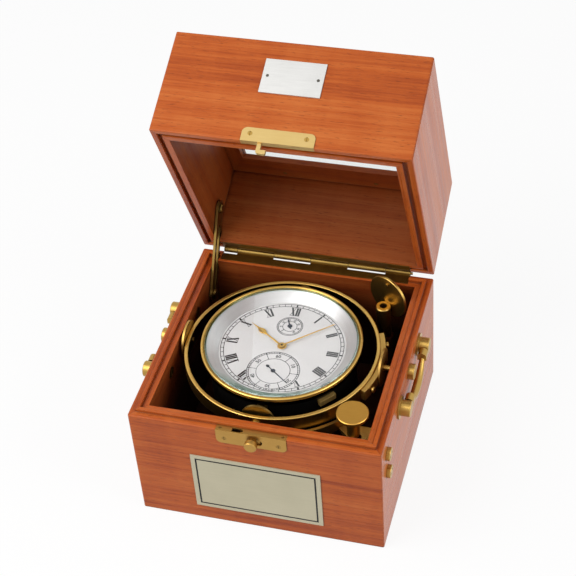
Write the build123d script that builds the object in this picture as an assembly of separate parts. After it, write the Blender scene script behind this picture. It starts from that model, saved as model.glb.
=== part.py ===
from build123d import *
from math import asin, atan2, cos, degrees, pi, radians, sin, sqrt
import os

# A marine chronometer in its wooden box, millimetres, +Z up.
# The origin is the centre of the underside, X runs to the right of the front and +Y to the hinge.
# Lid parts are drawn shut and then turned open about the hinge pin.

# Carcase of the box
ring_side_room = 7.2
ring_end_room = 6.7
base_height = 101.4
lid_height = 80.6
wall = 12.5
floor_thickness = 10.0
corner_radius = 1.4
edge_round = 0.8
rim_gap = 0.5
lid_open_angle = 66.14

# Dust rim: a tongue on the base enters a groove in the lid
ledge_width = 4.8
tongue_width = 2.7
tongue_height = 2.5
groove_clearance = 0.4

# Window in the lid
side_rail = 11.5
front_rail = 23.0
top_recess = 8.0
lid_top_thickness = 6.0
rail_setback = 7.5
glass_thickness = 3.0
glass_overlap = 4.0
glass_clearance = 0.3
window_frame_thickness = 4.0
frame_screw_x = 37.0
frame_screw_y = 30.0

# Continuous hinge, cut to length
hinge_setback = 2.1
barrel_radius = 2.3
hinge_pin_radius = 1.1
running_clearance = 0.05
leaf_thickness = 1.2
leaf_depth = 12.0
leaf_gap = 0.2
knuckle_gap = 0.3
hinge_inset_left = 17.0
hinge_inset_right = 18.5
first_knuckle = 11.0
knuckle_pitch = 30.0
hinge_relief = 2.4
hinge_pin_overhang = 1.6

# Slotted stay on the left
stay_pivot_inset = 16.3
stay_pivot_rise = 20.1
stay_stud_inset = 14.5
stay_stud_drop = 21.4
stay_width = 13.0
stay_thickness = 1.8
stay_wall_gap = 0.6
stay_slot_width = 5.2
stay_stud_radius = 1.9
stay_slot_start = 16.0
stay_end = 7.0
stay_pivot_radius = 2.0
stay_head_radius = 3.8
stay_head_height = 1.6
stay_shank = 8.0
stay_side_gap = 0.3
stay_bore_spare = 0.2

# Lock in the front of the base and catch on the lid
lock_x = -1.0
lock_width = 52.0
lock_height = 12.6
plate_thickness = 1.2
plate_proud = 0.5
plate_corner = 4.0
hook_left = -14.7
hook_width = 7.0
hook_shank = 3.0
hook_drop = 8.0
hook_foot = 3.0
hook_thickness = 2.5
hook_setback = 0.9
slot_clearance = 0.5
bolt_travel = 4.5
bolt_thickness = 2.4
bolt_clearance = 0.3
bolt_nose_height = 1.9
bolt_nose_reach = 3.4
bolt_right = 5.5
bolt_drop = 11.9
knob_x = -0.2
knob_drop = 6.9
knob_radius = 4.65
knob_length = 4.0
knob_neck_radius = 2.6
knob_neck_length = 2.1
lock_screw_spacing = 40.0
lock_screw_drop = 7.6
ledge_screw_spacing = 46.0
catch_screw_rise = 6.0

# Plates screwed or glued to the wood
label_width = 97.0
label_height = 55.5
label_x = -0.5
label_low = 14.5
sheet_thickness = 0.8
nameplate_width = 43.8
nameplate_height = 27.0
nameplate_x = -0.8
nameplate_rise = 52.1
nameplate_screw_spacing = 36.4

# Bail handles on the two sides
handle_drop = 13.4
handle_half_span = 33.0
flange_radius = 8.75
flange_thickness = 1.2
boss_radius = 6.0
boss_length = 8.7
boss_shank_radius = 2.5
nut_radius = 4.5
nut_thickness = 3.0
bail_standoff = 5.3
bail_eye_radius = 3.4
bail_eye_length = 6.6
bail_side_gap = 0.3
bail_pin_radius = 1.5
bail_pin_length = 5.0
bail_drop = 12.0
bail_thin_radius = 1.9
bail_thick_radius = 3.2

# Gimbals
instrument_x = -3.3
gimbal_drop = 9.4
ring_gap = 15.3
ring_thickness = 3.0
ring_height = 12.0
ring_edge = 0.7
pivot_disc_radius = 14.5
front_disc_radius = 12.5
rear_disc_radius = 6.9
pivot_disc_thickness = 1.5
ring_bush_gap = 2.1
box_pivot_radius = 2.0
pivot_shank_radius = 3.0
pivot_head_radius = 6.0
pivot_head_length = 4.5
bowl_pivot_radius = 1.8
bowl_pivot_head_radius = 3.4
bowl_pivot_head_length = 1.4
pivot_boss_radius = 3.8
pivot_seat_depth = 0.2
pivot_tip_reach = 0.6
saddle_thickness = 3.7
saddle_half_angle = 24.0
saddle_flat = 1.2
saddle_bore_floor = 0.4
saddle_knob_gap = 0.8
saddle_height = 9.0
saddle_screw_angle = 17.5
saddle_screw_radius = 1.4
saddle_knob_radius = 2.4
saddle_knob_length = 3.0

# Chronometer bowl, bezel, glass and dial
bowl_radius = 55.0
bowl_wall = 1.6
bowl_rim_rise = 5.0
bowl_depth = 63.0
bowl_bottom_radius = 24.0
bezel_overhang = 5.5
bezel_rise = 13.1
bezel_skirt = 0.9
bezel_skirt_wall = 2.0
bezel_round = 1.9
crystal_overhang = 2.5
crystal_thickness = 2.5
crystal_rise = 10.7
crystal_proud = 0.2
seat_width = 1.1
flange_overlap = 0.8
dial_inset = 6.4
dial_rise = 4.9
dial_thickness = 1.0
dial_foot_radius = 1.2
dial_foot_inset = 6.6
dial_foot_length = 1.5
seat_fit = 0.1

# Hands
subdial_y = -25.5
reserve_y = 22.5
hour_length = 35.0
minute_length = 44.5
seconds_length = 17.0
reserve_length = 8.5
hour_angle = 304.5
minute_angle = 48.6
seconds_angle = 128.0
reserve_angle = -25.0
hand_thickness = 0.5
hour_hand_rise = 1.1
minute_hand_rise = 2.0
small_hand_rise = 0.3
minute_arbor_radius = 0.9
hour_pipe_radius = 1.7
small_arbor_radius = 0.5
arbor_tip = 0.4
pipe_foot_gap = 0.3

# Movement
lower_plate_drop = 34.5
plate_gauge = 2.5
pillar_radius = 2.4
pillar_inset = 5.0
top_plate_gap = 3.4
barrel_x = -12.6
barrel_y = 12.0
mainspring_barrel_radius = 17.0
mainspring_barrel_height = 24.0
fusee_x = 19.0
fusee_y = -17.0
fusee_large_radius = 16.0
fusee_small_radius = 7.0
fusee_turns = 6
great_wheel_radius = 19.0
great_wheel_teeth = 48
great_wheel_thickness = 3.0
tooth_height = 1.6
arbor_radius = 2.0
winding_square = 3.2
balance_x = -4.0
balance_inset = 28.0
balance_radius = 14.0
balance_rim = 2.2
balance_height = 3.0
balance_gap = 2.0
balance_arbor_radius = 0.8
cock_thickness = 2.0
cock_width = 9.0
shutter_radius = 8.0
shutter_thickness = 1.0
shutter_gap = 0.2
shutter_pivot_radius = 1.2
shutter_arm = 12.0
winding_hole_radius = 5.0

# Gimbal lock in the front right corner
lock_ring_gap = 1.3
bracket_drop = 25.4
bracket_thickness = 2.5
bracket_leg_below = 16.0
bracket_leg_above = 14.0
bracket_leg_depth = 19.5
bracket_depth = 34.0
bracket_tip_x = 26.3
bracket_tip_y = 26.2
bracket_edge_gap = 0.8
lock_knob_inset_x = 16.5
lock_knob_inset_y = 23.5
lock_knob_drop = 0.4
lock_cap_radius = 11.7
lock_cap_thickness = 3.2
lock_stem_radius = 4.75
lock_spindle_radius = 3.0
lock_arm_thickness = 2.4
lock_arm_width = 10.0
lock_arm_travel = 4.2
lock_arm_rim = 2.2
lock_shoe_height = 9.2
lock_shoe_thickness = 2.2
lock_shoe_sweep = 28.0
lock_gap = 0.3
lock_nut_radius = 5.0
lock_nut_length = 3.0
lock_bolt_radius = 2.0
lock_nut_inset = 5.0
lock_nut_drops = (35.4, 17.0)
lock_block_angle = -40.0
lock_block_length = 14.0
lock_block_height = 4.5
lock_block_depth = 3.0
lock_block_drop = 3.5

# Winding key and its holder in the rear right corner
key_inset_x = 18.2
key_inset_y = 10.7
key_disc_drop = 2.9
key_disc_radius = 18.0
key_disc_thickness = 2.2
key_turn = 30.0
key_tube_radius = 5.8
key_tube_bore = 2.9
key_tube_drop = 8.9
key_tube_length = 30.0
key_stud_rise = 12.5
key_stud_radius = 1.2
key_stud_length = 1.2
holder_radius = 7.2

# Screw sizes: head radius, head height, shank radius, shank length
plate_screw = (1.7, 0.7, 0.9, 7.0)
small_screw = (1.1, 0.5, 0.6, 5.0)
frame_screw = (1.7, 0.7, 0.9, 9.0)
screw_slot = (0.45, 0.3)

# Places on the box that follow from the sizes above
ring_radius = bowl_radius + ring_gap + ring_thickness
inner_x = ring_radius + ring_side_room
inner_y = ring_radius + ring_end_room
half_width = inner_x + wall
half_depth = inner_y + wall
lid_rim_z = base_height + rim_gap
lid_top_z = lid_rim_z + lid_height
tongue_start = ledge_width
tongue_end = ledge_width + tongue_width
window_width = 2 * (inner_x - side_rail)
window_depth = 2 * (inner_y - front_rail)
panel_z = lid_top_z - top_recess
glass_z = panel_z - lid_top_thickness
glass_half_x = window_width / 2 + glass_overlap
glass_half_y = window_depth / 2 + rail_setback + glass_overlap
hinge_y = half_depth + hinge_setback
hinge_z = base_height + rim_gap / 2
hinge_left = hinge_inset_left - half_width
hinge_right = half_width - hinge_inset_right
hinge_line = Axis((0, hinge_y, hinge_z), (1, 0, 0))
stay_pivot_y = inner_y - stay_pivot_inset
stay_pivot_z = lid_rim_z + stay_pivot_rise
stay_stud_y = inner_y - stay_stud_inset
stay_stud_z = base_height - stay_stud_drop
front_skin = -half_depth - plate_proud
bolt_low_z = base_height - bolt_drop
knob_z = base_height - knob_drop
label_z = label_low + label_height / 2
nameplate_z = lid_rim_z + nameplate_rise
handle_z = base_height - handle_drop

# Places on the instrument, its lock and its key
gimbal_z = base_height - gimbal_drop
bowl_rim_z = gimbal_z + bowl_rim_rise
bowl_bottom_z = bowl_rim_z - bowl_depth
bezel_radius = bowl_radius + bezel_overhang
bezel_top_z = gimbal_z + bezel_rise
crystal_radius = bowl_radius + crystal_overhang
crystal_seat_z = gimbal_z + crystal_rise
dial_radius = bowl_radius - dial_inset
dial_top_z = gimbal_z + dial_rise
flange_inner_radius = dial_radius - flange_overlap
dial_foot_circle = dial_radius - dial_foot_inset
small_hand_z = dial_top_z + small_hand_rise
hour_hand_z = dial_top_z + hour_hand_rise
minute_hand_z = dial_top_z + minute_hand_rise
pivot_plate_z = dial_top_z - dial_thickness - dial_foot_length - plate_gauge
lower_plate_z = gimbal_z - lower_plate_drop
lower_plate_top = lower_plate_z + plate_gauge
top_plate_radius = bowl_radius - bowl_wall - top_plate_gap
pillar_circle = top_plate_radius - pillar_inset
balance_y = balance_inset - top_plate_radius
lock_clear_radius = ring_radius + lock_ring_gap
bracket_top_z = base_height - bracket_drop
bracket_back_y = bracket_depth - inner_y
lock_knob_x = inner_x - lock_knob_inset_x
lock_knob_y = lock_knob_inset_y - inner_y
lock_knob_top_z = base_height - lock_knob_drop
lock_nut_y = lock_nut_inset - inner_y
lock_nut_zs = [base_height - drop for drop in lock_nut_drops]
lock_block_z = gimbal_z - lock_block_drop
key_disc_x = inner_x - key_inset_x
key_disc_y = inner_y - key_inset_y
key_disc_z = base_height - key_disc_drop
key_tube_top_z = base_height - key_tube_drop


def block(low, high):
    """A box between two opposite corners."""
    size = [b - a for a, b in zip(low, high)]
    centre = [(a + b) / 2 for a, b in zip(low, high)]
    return Pos(*centre) * Box(*size)


def rod(start, direction, radius, length):
    """A cylinder from a start point along a direction."""
    plane = Plane(origin=start, z_dir=direction)
    solid = Cylinder(radius, length, align=(Align.CENTER, Align.CENTER, Align.MIN))
    return plane.location * solid


def prism(points, thickness, direction=(0, 0, 1)):
    """A flat plate: a closed outline of straight sides, given a thickness."""
    face = make_face(Polyline(*points, close=True))
    return extrude(face, amount=thickness, dir=direction)


def turned(points):
    """A body of revolution about Z from (radius, height) points."""
    outline = Polyline(*[(r, 0, z) for r, z in points], close=True)
    return revolve(make_face(outline), Axis.Z)


def opened(shape):
    """A lid piece swung from its shut place to the open one."""
    return shape.rotate(hinge_line, -lid_open_angle)


def screw(size):
    """A slotted screw along -Z, its head flush with the plane z = 0."""
    head_radius, head_height, shank_radius, shank_length = size
    slot_width, slot_depth = screw_slot
    body = rod((0, 0, 0), (0, 0, -1), head_radius, head_height)
    body += rod((0, 0, -head_height), (0, 0, -1), shank_radius, shank_length)
    reach = head_radius + slot_width
    return body - block((-reach, -slot_width / 2, -slot_depth), (reach, slot_width / 2, slot_depth))


def screw_hole(size):
    """The hole that a screw of this size sits in."""
    head_radius, head_height, shank_radius, shank_length = size
    hole = rod((0, 0, head_height), (0, 0, -1), head_radius + running_clearance, 2 * head_height)
    depth = shank_length + running_clearance
    return hole + rod((0, 0, -head_height), (0, 0, -1), shank_radius + running_clearance, depth)


def placed_screws(size, places, direction):
    """A row of equal screws, as separate solids, with their heads facing a direction."""
    return [Plane(origin=p, z_dir=direction).location * screw(size) for p in places]


def drilled(part, size, places, direction):
    """A part with the holes of a row of screws."""
    for p in places:
        part -= Plane(origin=p, z_dir=direction).location * screw_hole(size)
    return part


def rim_band(start, end, low, high):
    """A rectangular band that follows the rim, between two distances from its outer edge."""
    outer, inner = [
        block((inset - half_width, inset - half_depth, low), (half_width - inset, half_depth - inset, high))
        for inset in (start, end)
    ]
    return outer - inner


def wall_band(low, high):
    """The four walls in one, with their outer corners and edges rounded."""
    band = rim_band(0, wall, low, high)
    uprights = [e for e in band.edges().filter_by(Axis.Z) if abs(e.center().X) > half_width - wall / 2]
    band = fillet(uprights, corner_radius)
    rims = [e for e in band.edges() if abs(e.center().Z - (low + high) / 2) > (high - low) / 2 - edge_round]
    return fillet([e for e in rims if not within_walls(e.center())], edge_round)


def within_walls(point):
    """Whether a point lies inside the outer skin of the box."""
    margin = corner_radius + edge_round
    return abs(point.X) < half_width - margin and abs(point.Y) < half_depth - margin


def mitre_wedge(side):
    """The region that belongs to one wall of four whose corners meet on mitres."""
    w, d, m = half_width, half_depth, wall + 2 * corner_radius
    outlines = {
        "front": [(-w, -d), (w, -d), (w - m, m - d), (m - w, m - d)],
        "back": [(-w, d), (w, d), (w - m, d - m), (m - w, d - m)],
        "left": [(-w, -d), (-w, d), (m - w, d - m), (m - w, m - d)],
        "right": [(w, -d), (w, d), (w - m, d - m), (w - m, m - d)],
    }
    return prism([(x, y, 0) for x, y in outlines[side]], 2 * (base_height + lid_height))


def rounded_plate(width, low_z, high_z, round_top):
    """The front leaf of a lock plate, with two rounded corners at its free edge."""
    leaf = block(
        (lock_x - width / 2, front_skin, low_z),
        (lock_x + width / 2, front_skin + plate_thickness, high_z),
    )
    edge_z = high_z if round_top else low_z
    free = [e for e in leaf.edges().filter_by(Axis.Y) if abs(e.center().Z - edge_z) < 0.01]
    return fillet(free, plate_corner)


def lock_plate_blank():
    """The angle plate of the lock: a leaf on the front and a leaf on the ledge."""
    leaf = rounded_plate(lock_width, base_height - lock_height, base_height, False)
    top = block(
        (lock_x - lock_width / 2, front_skin, base_height - plate_thickness),
        (lock_x + lock_width / 2, ledge_width - half_depth, base_height),
    )
    return leaf + top


def catch_plate_blank():
    """The angle plate of the catch: a leaf on the lid's front and a leaf under its rim."""
    leaf = rounded_plate(lock_width, lid_rim_z, lid_rim_z + lock_height - 2, True)
    under = block(
        (lock_x - lock_width / 2, front_skin, lid_rim_z),
        (lock_x + lock_width / 2, ledge_width - half_depth - groove_clearance, lid_rim_z + plate_thickness),
    )
    return leaf + under


def hook_reach():
    """The front and rear faces of the hook."""
    front = hook_setback - half_depth
    return front, front + hook_thickness


def bolt_pocket():
    """The space in the front board for the hook, the bolt and the bolt's travel."""
    front, rear = hook_reach()
    left = hook_left - slot_clearance
    right = bolt_right + bolt_travel + bolt_clearance
    low = bolt_low_z - bolt_clearance
    high = base_height - plate_thickness
    return block((left, front_skin + plate_thickness, low), (right, rear + slot_clearance, high))


def lock_screw_places():
    z = base_height - lock_screw_drop
    return [(lock_x + side * lock_screw_spacing / 2, front_skin, z) for side in (-1, 1)]


def ledge_screw_places():
    y = ledge_width / 2 - half_depth
    return [(lock_x + side * ledge_screw_spacing / 2, y, base_height) for side in (-1, 1)]


def catch_screw_places():
    z = lid_rim_z + catch_screw_rise
    return [(lock_x + side * lock_screw_spacing / 2, front_skin, z) for side in (-1, 1)]


def nameplate_screw_places():
    y = -half_depth - sheet_thickness
    return [(nameplate_x + side * nameplate_screw_spacing / 2, y, nameplate_z) for side in (-1, 1)]


def handle_places():
    return [(side, y) for side in (-1, 1) for y in (-handle_half_span, handle_half_span)]


def lock_direction():
    """The level direction from the gimbal centre to the lock's knob."""
    across = lock_knob_x - instrument_x
    reach = sqrt(across**2 + lock_knob_y**2)
    return across / reach, lock_knob_y / reach, reach


def knuckle_edges():
    """Where one knuckle of the hinge ends and the next begins, from the left."""
    edges = [hinge_left]
    place = hinge_left + first_knuckle
    while place < hinge_right - knuckle_pitch / 4:
        edges.append(place)
        place += knuckle_pitch
    return edges + [hinge_right]


def hinge_recess(up):
    """What is cut from a rear rim for a hinge leaf and for the round of the barrel."""
    rim_z = lid_rim_z if up else base_height
    face_z = hinge_z + leaf_gap / 2 + leaf_thickness if up else hinge_z - leaf_gap / 2 - leaf_thickness
    far_z = rim_z - 2 * tongue_height if up else rim_z + 2 * tongue_height
    low_z, high_z = sorted((face_z, far_z))
    end_gap = knuckle_gap / 2
    cut = block(
        (hinge_left - end_gap, hinge_y - leaf_depth - end_gap, low_z),
        (hinge_right + end_gap, half_depth + corner_radius, high_z),
    )
    length = hinge_right - hinge_left + 2 * end_gap
    room = barrel_radius + hinge_relief
    return cut + rod((hinge_left - end_gap, hinge_y, hinge_z), (1, 0, 0), room, length)


def hinge_leaf(up, first):
    """A leaf with every second knuckle of the hinge, starting at the first or second one."""
    face = leaf_gap / 2 if up else -leaf_gap / 2 - leaf_thickness
    low, high = hinge_z + face, hinge_z + face + leaf_thickness
    notch_y = hinge_y - barrel_radius - hinge_relief
    leaf = block((hinge_left, hinge_y - leaf_depth, low), (hinge_right, notch_y, high))
    edges = knuckle_edges()
    for i in range(first, len(edges) - 1, 2):
        left = edges[i] + (knuckle_gap / 2 if i else 0)
        right = edges[i + 1] - (knuckle_gap / 2 if i < len(edges) - 2 else 0)
        leaf += block((left, notch_y, low), (right, hinge_y, high))
        leaf += rod((left, hinge_y, hinge_z), (1, 0, 0), barrel_radius, right - left)
    bore = rod(
        (hinge_left - 1, hinge_y, hinge_z),
        (1, 0, 0),
        hinge_pin_radius + running_clearance,
        hinge_right - hinge_left + 2,
    )
    return leaf - bore


def hinge_pin():
    pin = rod(
        (hinge_left + 0.5, hinge_y, hinge_z),
        (1, 0, 0),
        hinge_pin_radius,
        hinge_right - hinge_left - 0.5 + hinge_pin_overhang,
    )
    return pin


def base_board(side):
    """One mitred wall of the base, with the tongue of the dust rim on top."""
    tongue = rim_band(tongue_start, tongue_end, base_height, base_height + tongue_height)
    board = (wall_band(0, base_height) + tongue) & mitre_wedge(side)
    if side == "front":
        board -= lock_plate_blank()
        board -= bolt_pocket()
        board = drilled(board, plate_screw, lock_screw_places(), (0, -1, 0))
        board = drilled(board, small_screw, ledge_screw_places(), (0, 0, 1))
    if side == "back":
        board -= hinge_recess(False)
        board -= stay_notch()
    if side in ("left", "right"):
        sign = -1 if side == "left" else 1
        for y in (-handle_half_span, handle_half_span):
            start = (sign * (inner_x - 1), y, handle_z)
            board -= rod(start, (sign, 0, 0), boss_shank_radius + running_clearance, wall + 2)
            board -= rod(start, (sign, 0, 0), nut_radius + running_clearance, 1 + nut_thickness)
        start = (sign * (inner_x - 1), 0, gimbal_z)
        board -= rod(start, (sign, 0, 0), pivot_shank_radius + running_clearance, wall + 2)
    if side == "left":
        board -= stay_bore(stay_stud_y, stay_stud_z, stay_stud_radius)
    if side == "right":
        for z in lock_nut_zs:
            bore = lock_bolt_radius + running_clearance
            board -= rod((inner_x - 1, lock_nut_y, z), (1, 0, 0), bore, wall + 2)
    return board


def base_floor():
    """The bottom board, let in between the four walls."""
    return block((-inner_x, -inner_y, 0), (inner_x, inner_y, floor_thickness))


def lid_board(side):
    """One mitred wall of the lid, with the groove of the dust rim in its lower edge."""
    groove = rim_band(
        tongue_start - groove_clearance,
        tongue_end + groove_clearance,
        lid_rim_z - 1,
        lid_rim_z + tongue_height + groove_clearance,
    )
    board = (wall_band(lid_rim_z, lid_top_z) - groove) & mitre_wedge(side)
    if side == "front":
        board -= catch_plate_blank()
        board = drilled(board, plate_screw, catch_screw_places(), (0, -1, 0))
        board = drilled(board, small_screw, nameplate_screw_places(), (0, -1, 0))
    if side == "back":
        board -= hinge_recess(True)
    if side == "left":
        board -= stay_bore(stay_pivot_y, stay_pivot_z, stay_pivot_radius)
    board = opened(board)
    return board - stay_notch() if side == "back" else board


def window_rails(wy, low, high):
    """Four mitred rails round an opening as wide as the window, each a separate solid."""
    wx, outer_x, outer_y = window_width / 2, inner_x, inner_y
    outlines = [
        [(-outer_x, -outer_y), (outer_x, -outer_y), (wx, -wy), (-wx, -wy)],
        [(-outer_x, outer_y), (outer_x, outer_y), (wx, wy), (-wx, wy)],
        [(-outer_x, -outer_y), (-outer_x, outer_y), (-wx, wy), (-wx, -wy)],
        [(outer_x, -outer_y), (outer_x, outer_y), (wx, wy), (wx, -wy)],
    ]
    rails = [prism([(x, y, low) for x, y in outline], high - low) for outline in outlines]
    return [drilled(rail, frame_screw, frame_screw_places(), (0, 0, -1)) for rail in rails]


def lid_top():
    """The framed top panel of the lid, let in between its walls below their edge, rebated for the glass."""
    gx, gy = glass_half_x + glass_clearance, glass_half_y + glass_clearance
    rebate = block((-gx, -gy, glass_z - 1), (gx, gy, glass_z + glass_thickness))
    return [opened(rail - rebate) for rail in window_rails(window_depth / 2 + rail_setback, glass_z, panel_z)]


def window_glass():
    x, y = glass_half_x, glass_half_y
    return opened(block((-x, -y, glass_z), (x, y, glass_z + glass_thickness)))


def frame_screw_places():
    """Two screws in each rail, midway between the glass and the wall."""
    x = (inner_x + glass_half_x + glass_clearance) / 2
    y = (inner_y + glass_half_y + glass_clearance) / 2
    z = glass_z - window_frame_thickness
    along_x = [(side * frame_screw_x, end * y, z) for end in (-1, 1) for side in (-1, 1)]
    along_y = [(end * x, side * frame_screw_y, z) for end in (-1, 1) for side in (-1, 1)]
    return along_x + along_y


def window_frame():
    """The retaining frame that holds the glass up from inside the lid."""
    low = glass_z - window_frame_thickness
    return [opened(rail) for rail in window_rails(window_depth / 2, low, glass_z)]


def window_frame_screws():
    return [opened(s) for s in placed_screws(frame_screw, frame_screw_places(), (0, 0, -1))]


def lock_plate():
    """The lock plate with the hook's slot, the knob's slot and its screw holes."""
    plate = lock_plate_blank()
    front, rear = hook_reach()
    low = base_height - 2 * plate_thickness
    plate -= block(
        (hook_left - slot_clearance, front - slot_clearance, low),
        (hook_left + hook_width + slot_clearance, rear + slot_clearance, base_height + 1),
    )
    neck = knob_neck_radius + bolt_clearance
    slot = block(
        (knob_x, front_skin - 1, knob_z - neck),
        (knob_x + bolt_travel, front_skin + 2 * plate_thickness, knob_z + neck),
    )
    for x in (knob_x, knob_x + bolt_travel):
        slot += rod((x, front_skin - 1, knob_z), (0, 1, 0), neck, 1 + 2 * plate_thickness)
    plate -= slot
    plate = drilled(plate, plate_screw, lock_screw_places(), (0, -1, 0))
    return drilled(plate, small_screw, ledge_screw_places(), (0, 0, 1))


def lock_screws():
    front = placed_screws(plate_screw, lock_screw_places(), (0, -1, 0))
    return front + placed_screws(small_screw, ledge_screw_places(), (0, 0, 1))


def latch_knob():
    """The sliding knob, its neck and the sloped bolt behind the plate that holds the hook."""
    bolt_front = front_skin + plate_thickness + bolt_clearance
    body_left = hook_left + hook_width + bolt_clearance
    nose_low = lid_rim_z - hook_drop + hook_foot + bolt_clearance
    nose_high = nose_low + bolt_nose_height
    outline = [
        (body_left, bolt_front, bolt_low_z),
        (bolt_right, bolt_front, bolt_low_z),
        (bolt_right, bolt_front, nose_high),
        (body_left - bolt_nose_reach / 2, bolt_front, nose_high),
        (body_left - bolt_nose_reach, bolt_front, nose_low + 0.4),
        (body_left - bolt_nose_reach, bolt_front, nose_low),
        (body_left, bolt_front, nose_low),
    ]
    bolt = prism(outline, bolt_thickness, (0, 1, 0))
    neck_start = front_skin - knob_neck_length
    neck = rod((knob_x, neck_start, knob_z), (0, 1, 0), knob_neck_radius, bolt_front - neck_start)
    cap = rod((knob_x, neck_start - knob_length, knob_z), (0, 1, 0), knob_radius, knob_length)
    cap = chamfer(cap.edges().filter_by(GeomType.CIRCLE).sort_by(Axis.Y)[0], 0.7)
    return bolt + neck + cap


def catch_plate():
    """The catch on the lid, with the hook that drops into the lock."""
    plate = catch_plate_blank()
    front, rear = hook_reach()
    low = lid_rim_z - hook_drop
    right = hook_left + hook_width
    outline = [
        (hook_left, front, lid_rim_z),
        (hook_left, front, low + 1.2),
        (hook_left + 1.2, front, low),
        (right - 0.8, front, low),
        (right, front, low + 0.8),
        (right, front, low + hook_foot),
        (hook_left + hook_shank, front, low + hook_foot),
        (hook_left + hook_shank, front, lid_rim_z),
    ]
    plate += prism(outline, hook_thickness, (0, 1, 0))
    return opened(drilled(plate, plate_screw, catch_screw_places(), (0, -1, 0)))


def catch_screws():
    return [opened(s) for s in placed_screws(plate_screw, catch_screw_places(), (0, -1, 0))]


def flat_sheet(x, z, width, height):
    """A thin plate on the front of the box."""
    return block(
        (x - width / 2, -half_depth - sheet_thickness, z - height / 2),
        (x + width / 2, -half_depth, z + height / 2),
    )


def nameplate():
    plate = flat_sheet(nameplate_x, nameplate_z, nameplate_width, nameplate_height)
    return opened(drilled(plate, small_screw, nameplate_screw_places(), (0, -1, 0)))


def nameplate_screws():
    return [opened(s) for s in placed_screws(small_screw, nameplate_screw_places(), (0, -1, 0))]


def label_plate():
    return flat_sheet(label_x, label_z, label_width, label_height)


def handle_posts():
    """Four turned posts with a flange, a bore for the bail's pin and a shank through the wall."""
    posts = []
    for side, y in handle_places():
        face = (side * half_width, y, handle_z)
        post = rod(face, (side, 0, 0), boss_radius, boss_length)
        post = chamfer(post.edges().filter_by(GeomType.CIRCLE).sort_by(Axis.X)[-1 if side > 0 else 0], 0.5)
        post += rod(face, (side, 0, 0), flange_radius, flange_thickness)
        post += rod(face, (-side, 0, 0), boss_shank_radius, wall)
        toward_middle = -1 if y > 0 else 1
        mouth = (side * (half_width + bail_standoff), y + toward_middle * (boss_radius + 1), handle_z)
        depth = 1 + bail_pin_length + bail_side_gap
        post -= rod(mouth, (0, -toward_middle, 0), bail_pin_radius + running_clearance, depth)
        posts.append(post)
    return posts


def handle_nuts():
    """Round nuts on the posts' shanks, sunk flush in the walls' inner faces."""
    nuts = []
    for side, y in handle_places():
        start = (side * (inner_x + nut_thickness), y, handle_z)
        nut = rod(start, (-side, 0, 0), nut_radius, nut_thickness)
        nuts.append(nut - rod(start, (-side, 0, 0), boss_shank_radius + running_clearance, nut_thickness))
    return nuts


def bail(side):
    """A hanging bail: two eyes with pins, and a bowed grip that swells to its middle."""
    x = side * (half_width + bail_standoff)
    eye_outer = handle_half_span - boss_radius - bail_side_gap
    eye_inner = eye_outer - bail_eye_length
    span = eye_inner + bail_eye_length / 2
    drop = bail_drop
    radius = (span**2 + drop**2) / (2 * drop)
    half_angle = asin(span / radius)
    sections = []
    steps = 8
    for i in range(steps + 1):
        a = half_angle * (2 * i / steps - 1)
        y, z = radius * sin(a), radius * (1 - cos(a)) - drop
        swell = cos(pi / 2 * (2 * i / steps - 1)) ** 1.5
        r = bail_thin_radius + (bail_thick_radius - bail_thin_radius) * swell
        plane = Plane(origin=(x, y, handle_z + z), z_dir=(0, cos(a), sin(a)))
        sections.append(plane * Circle(r))
    grip = loft(sections)
    for end in (-1, 1):
        start = (x, end * eye_inner, handle_z)
        grip += rod(start, (0, end, 0), bail_eye_radius, bail_eye_length)
        lug = block(
            (x - bail_eye_radius, min(end * eye_inner, end * eye_outer), handle_z - bail_eye_radius),
            (x + bail_eye_radius, max(end * eye_inner, end * eye_outer), handle_z),
        )
        grip += lug
        pin_length = bail_pin_length + bail_side_gap
        grip += rod((x, end * eye_outer, handle_z), (0, end, 0), bail_pin_radius, pin_length)
    return grip


def stay_length():
    """From the stay's pivot on the lid to the stud on the base, with the lid open."""
    turn = radians(lid_open_angle)
    y, z = stay_pivot_y - hinge_y, stay_pivot_z - hinge_z
    open_y = hinge_y + y * cos(turn) + z * sin(turn)
    open_z = hinge_z - y * sin(turn) + z * cos(turn)
    reach_y, reach_z = stay_stud_y - open_y, stay_stud_z - open_z
    return open_y, open_z, sqrt(reach_y**2 + reach_z**2), degrees(atan2(reach_z, reach_y))


def lid_stay():
    """The slotted arm, lying along +Y and then turned to reach from the lid's pivot to the stud."""
    open_y, open_z, reach, turn = stay_length()
    x = -inner_x + stay_wall_gap
    r = stay_width / 2
    arm = block((x, 0, -r), (x + stay_thickness, reach, r))
    arm += rod((x, 0, 0), (1, 0, 0), r, stay_thickness)
    arm += rod((x, reach, 0), (1, 0, 0), stay_end, stay_thickness)
    arm -= rod((x - 1, 0, 0), (1, 0, 0), stay_pivot_radius + running_clearance, stay_thickness + 2)
    s = stay_slot_width / 2
    arm -= block((x - 1, stay_slot_start, -s), (x + stay_thickness + 1, reach, s))
    for y in (stay_slot_start, reach):
        arm -= rod((x - 1, y, 0), (1, 0, 0), s, stay_thickness + 2)
    arm = arm.rotate(Axis.X, turn)
    return Pos(0, open_y, open_z) * arm


def stay_notch():
    """The room that the arm needs in the rear boards, up to its place with the lid open."""
    open_y, open_z, reach, turn = stay_length()
    x = -inner_x
    r = stay_width / 2 + stay_wall_gap
    room = block((x, -stay_width, -3 * stay_width), (x + stay_thickness + 2 * stay_wall_gap, reach, r))
    return Pos(0, open_y, open_z) * room.rotate(Axis.X, turn)


def stay_bore(y, z, radius):
    """The blind hole in the left wall for one of the stay's two pins."""
    return rod((-inner_x, y, z), (-1, 0, 0), radius + running_clearance, stay_shank + stay_bore_spare)


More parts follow.
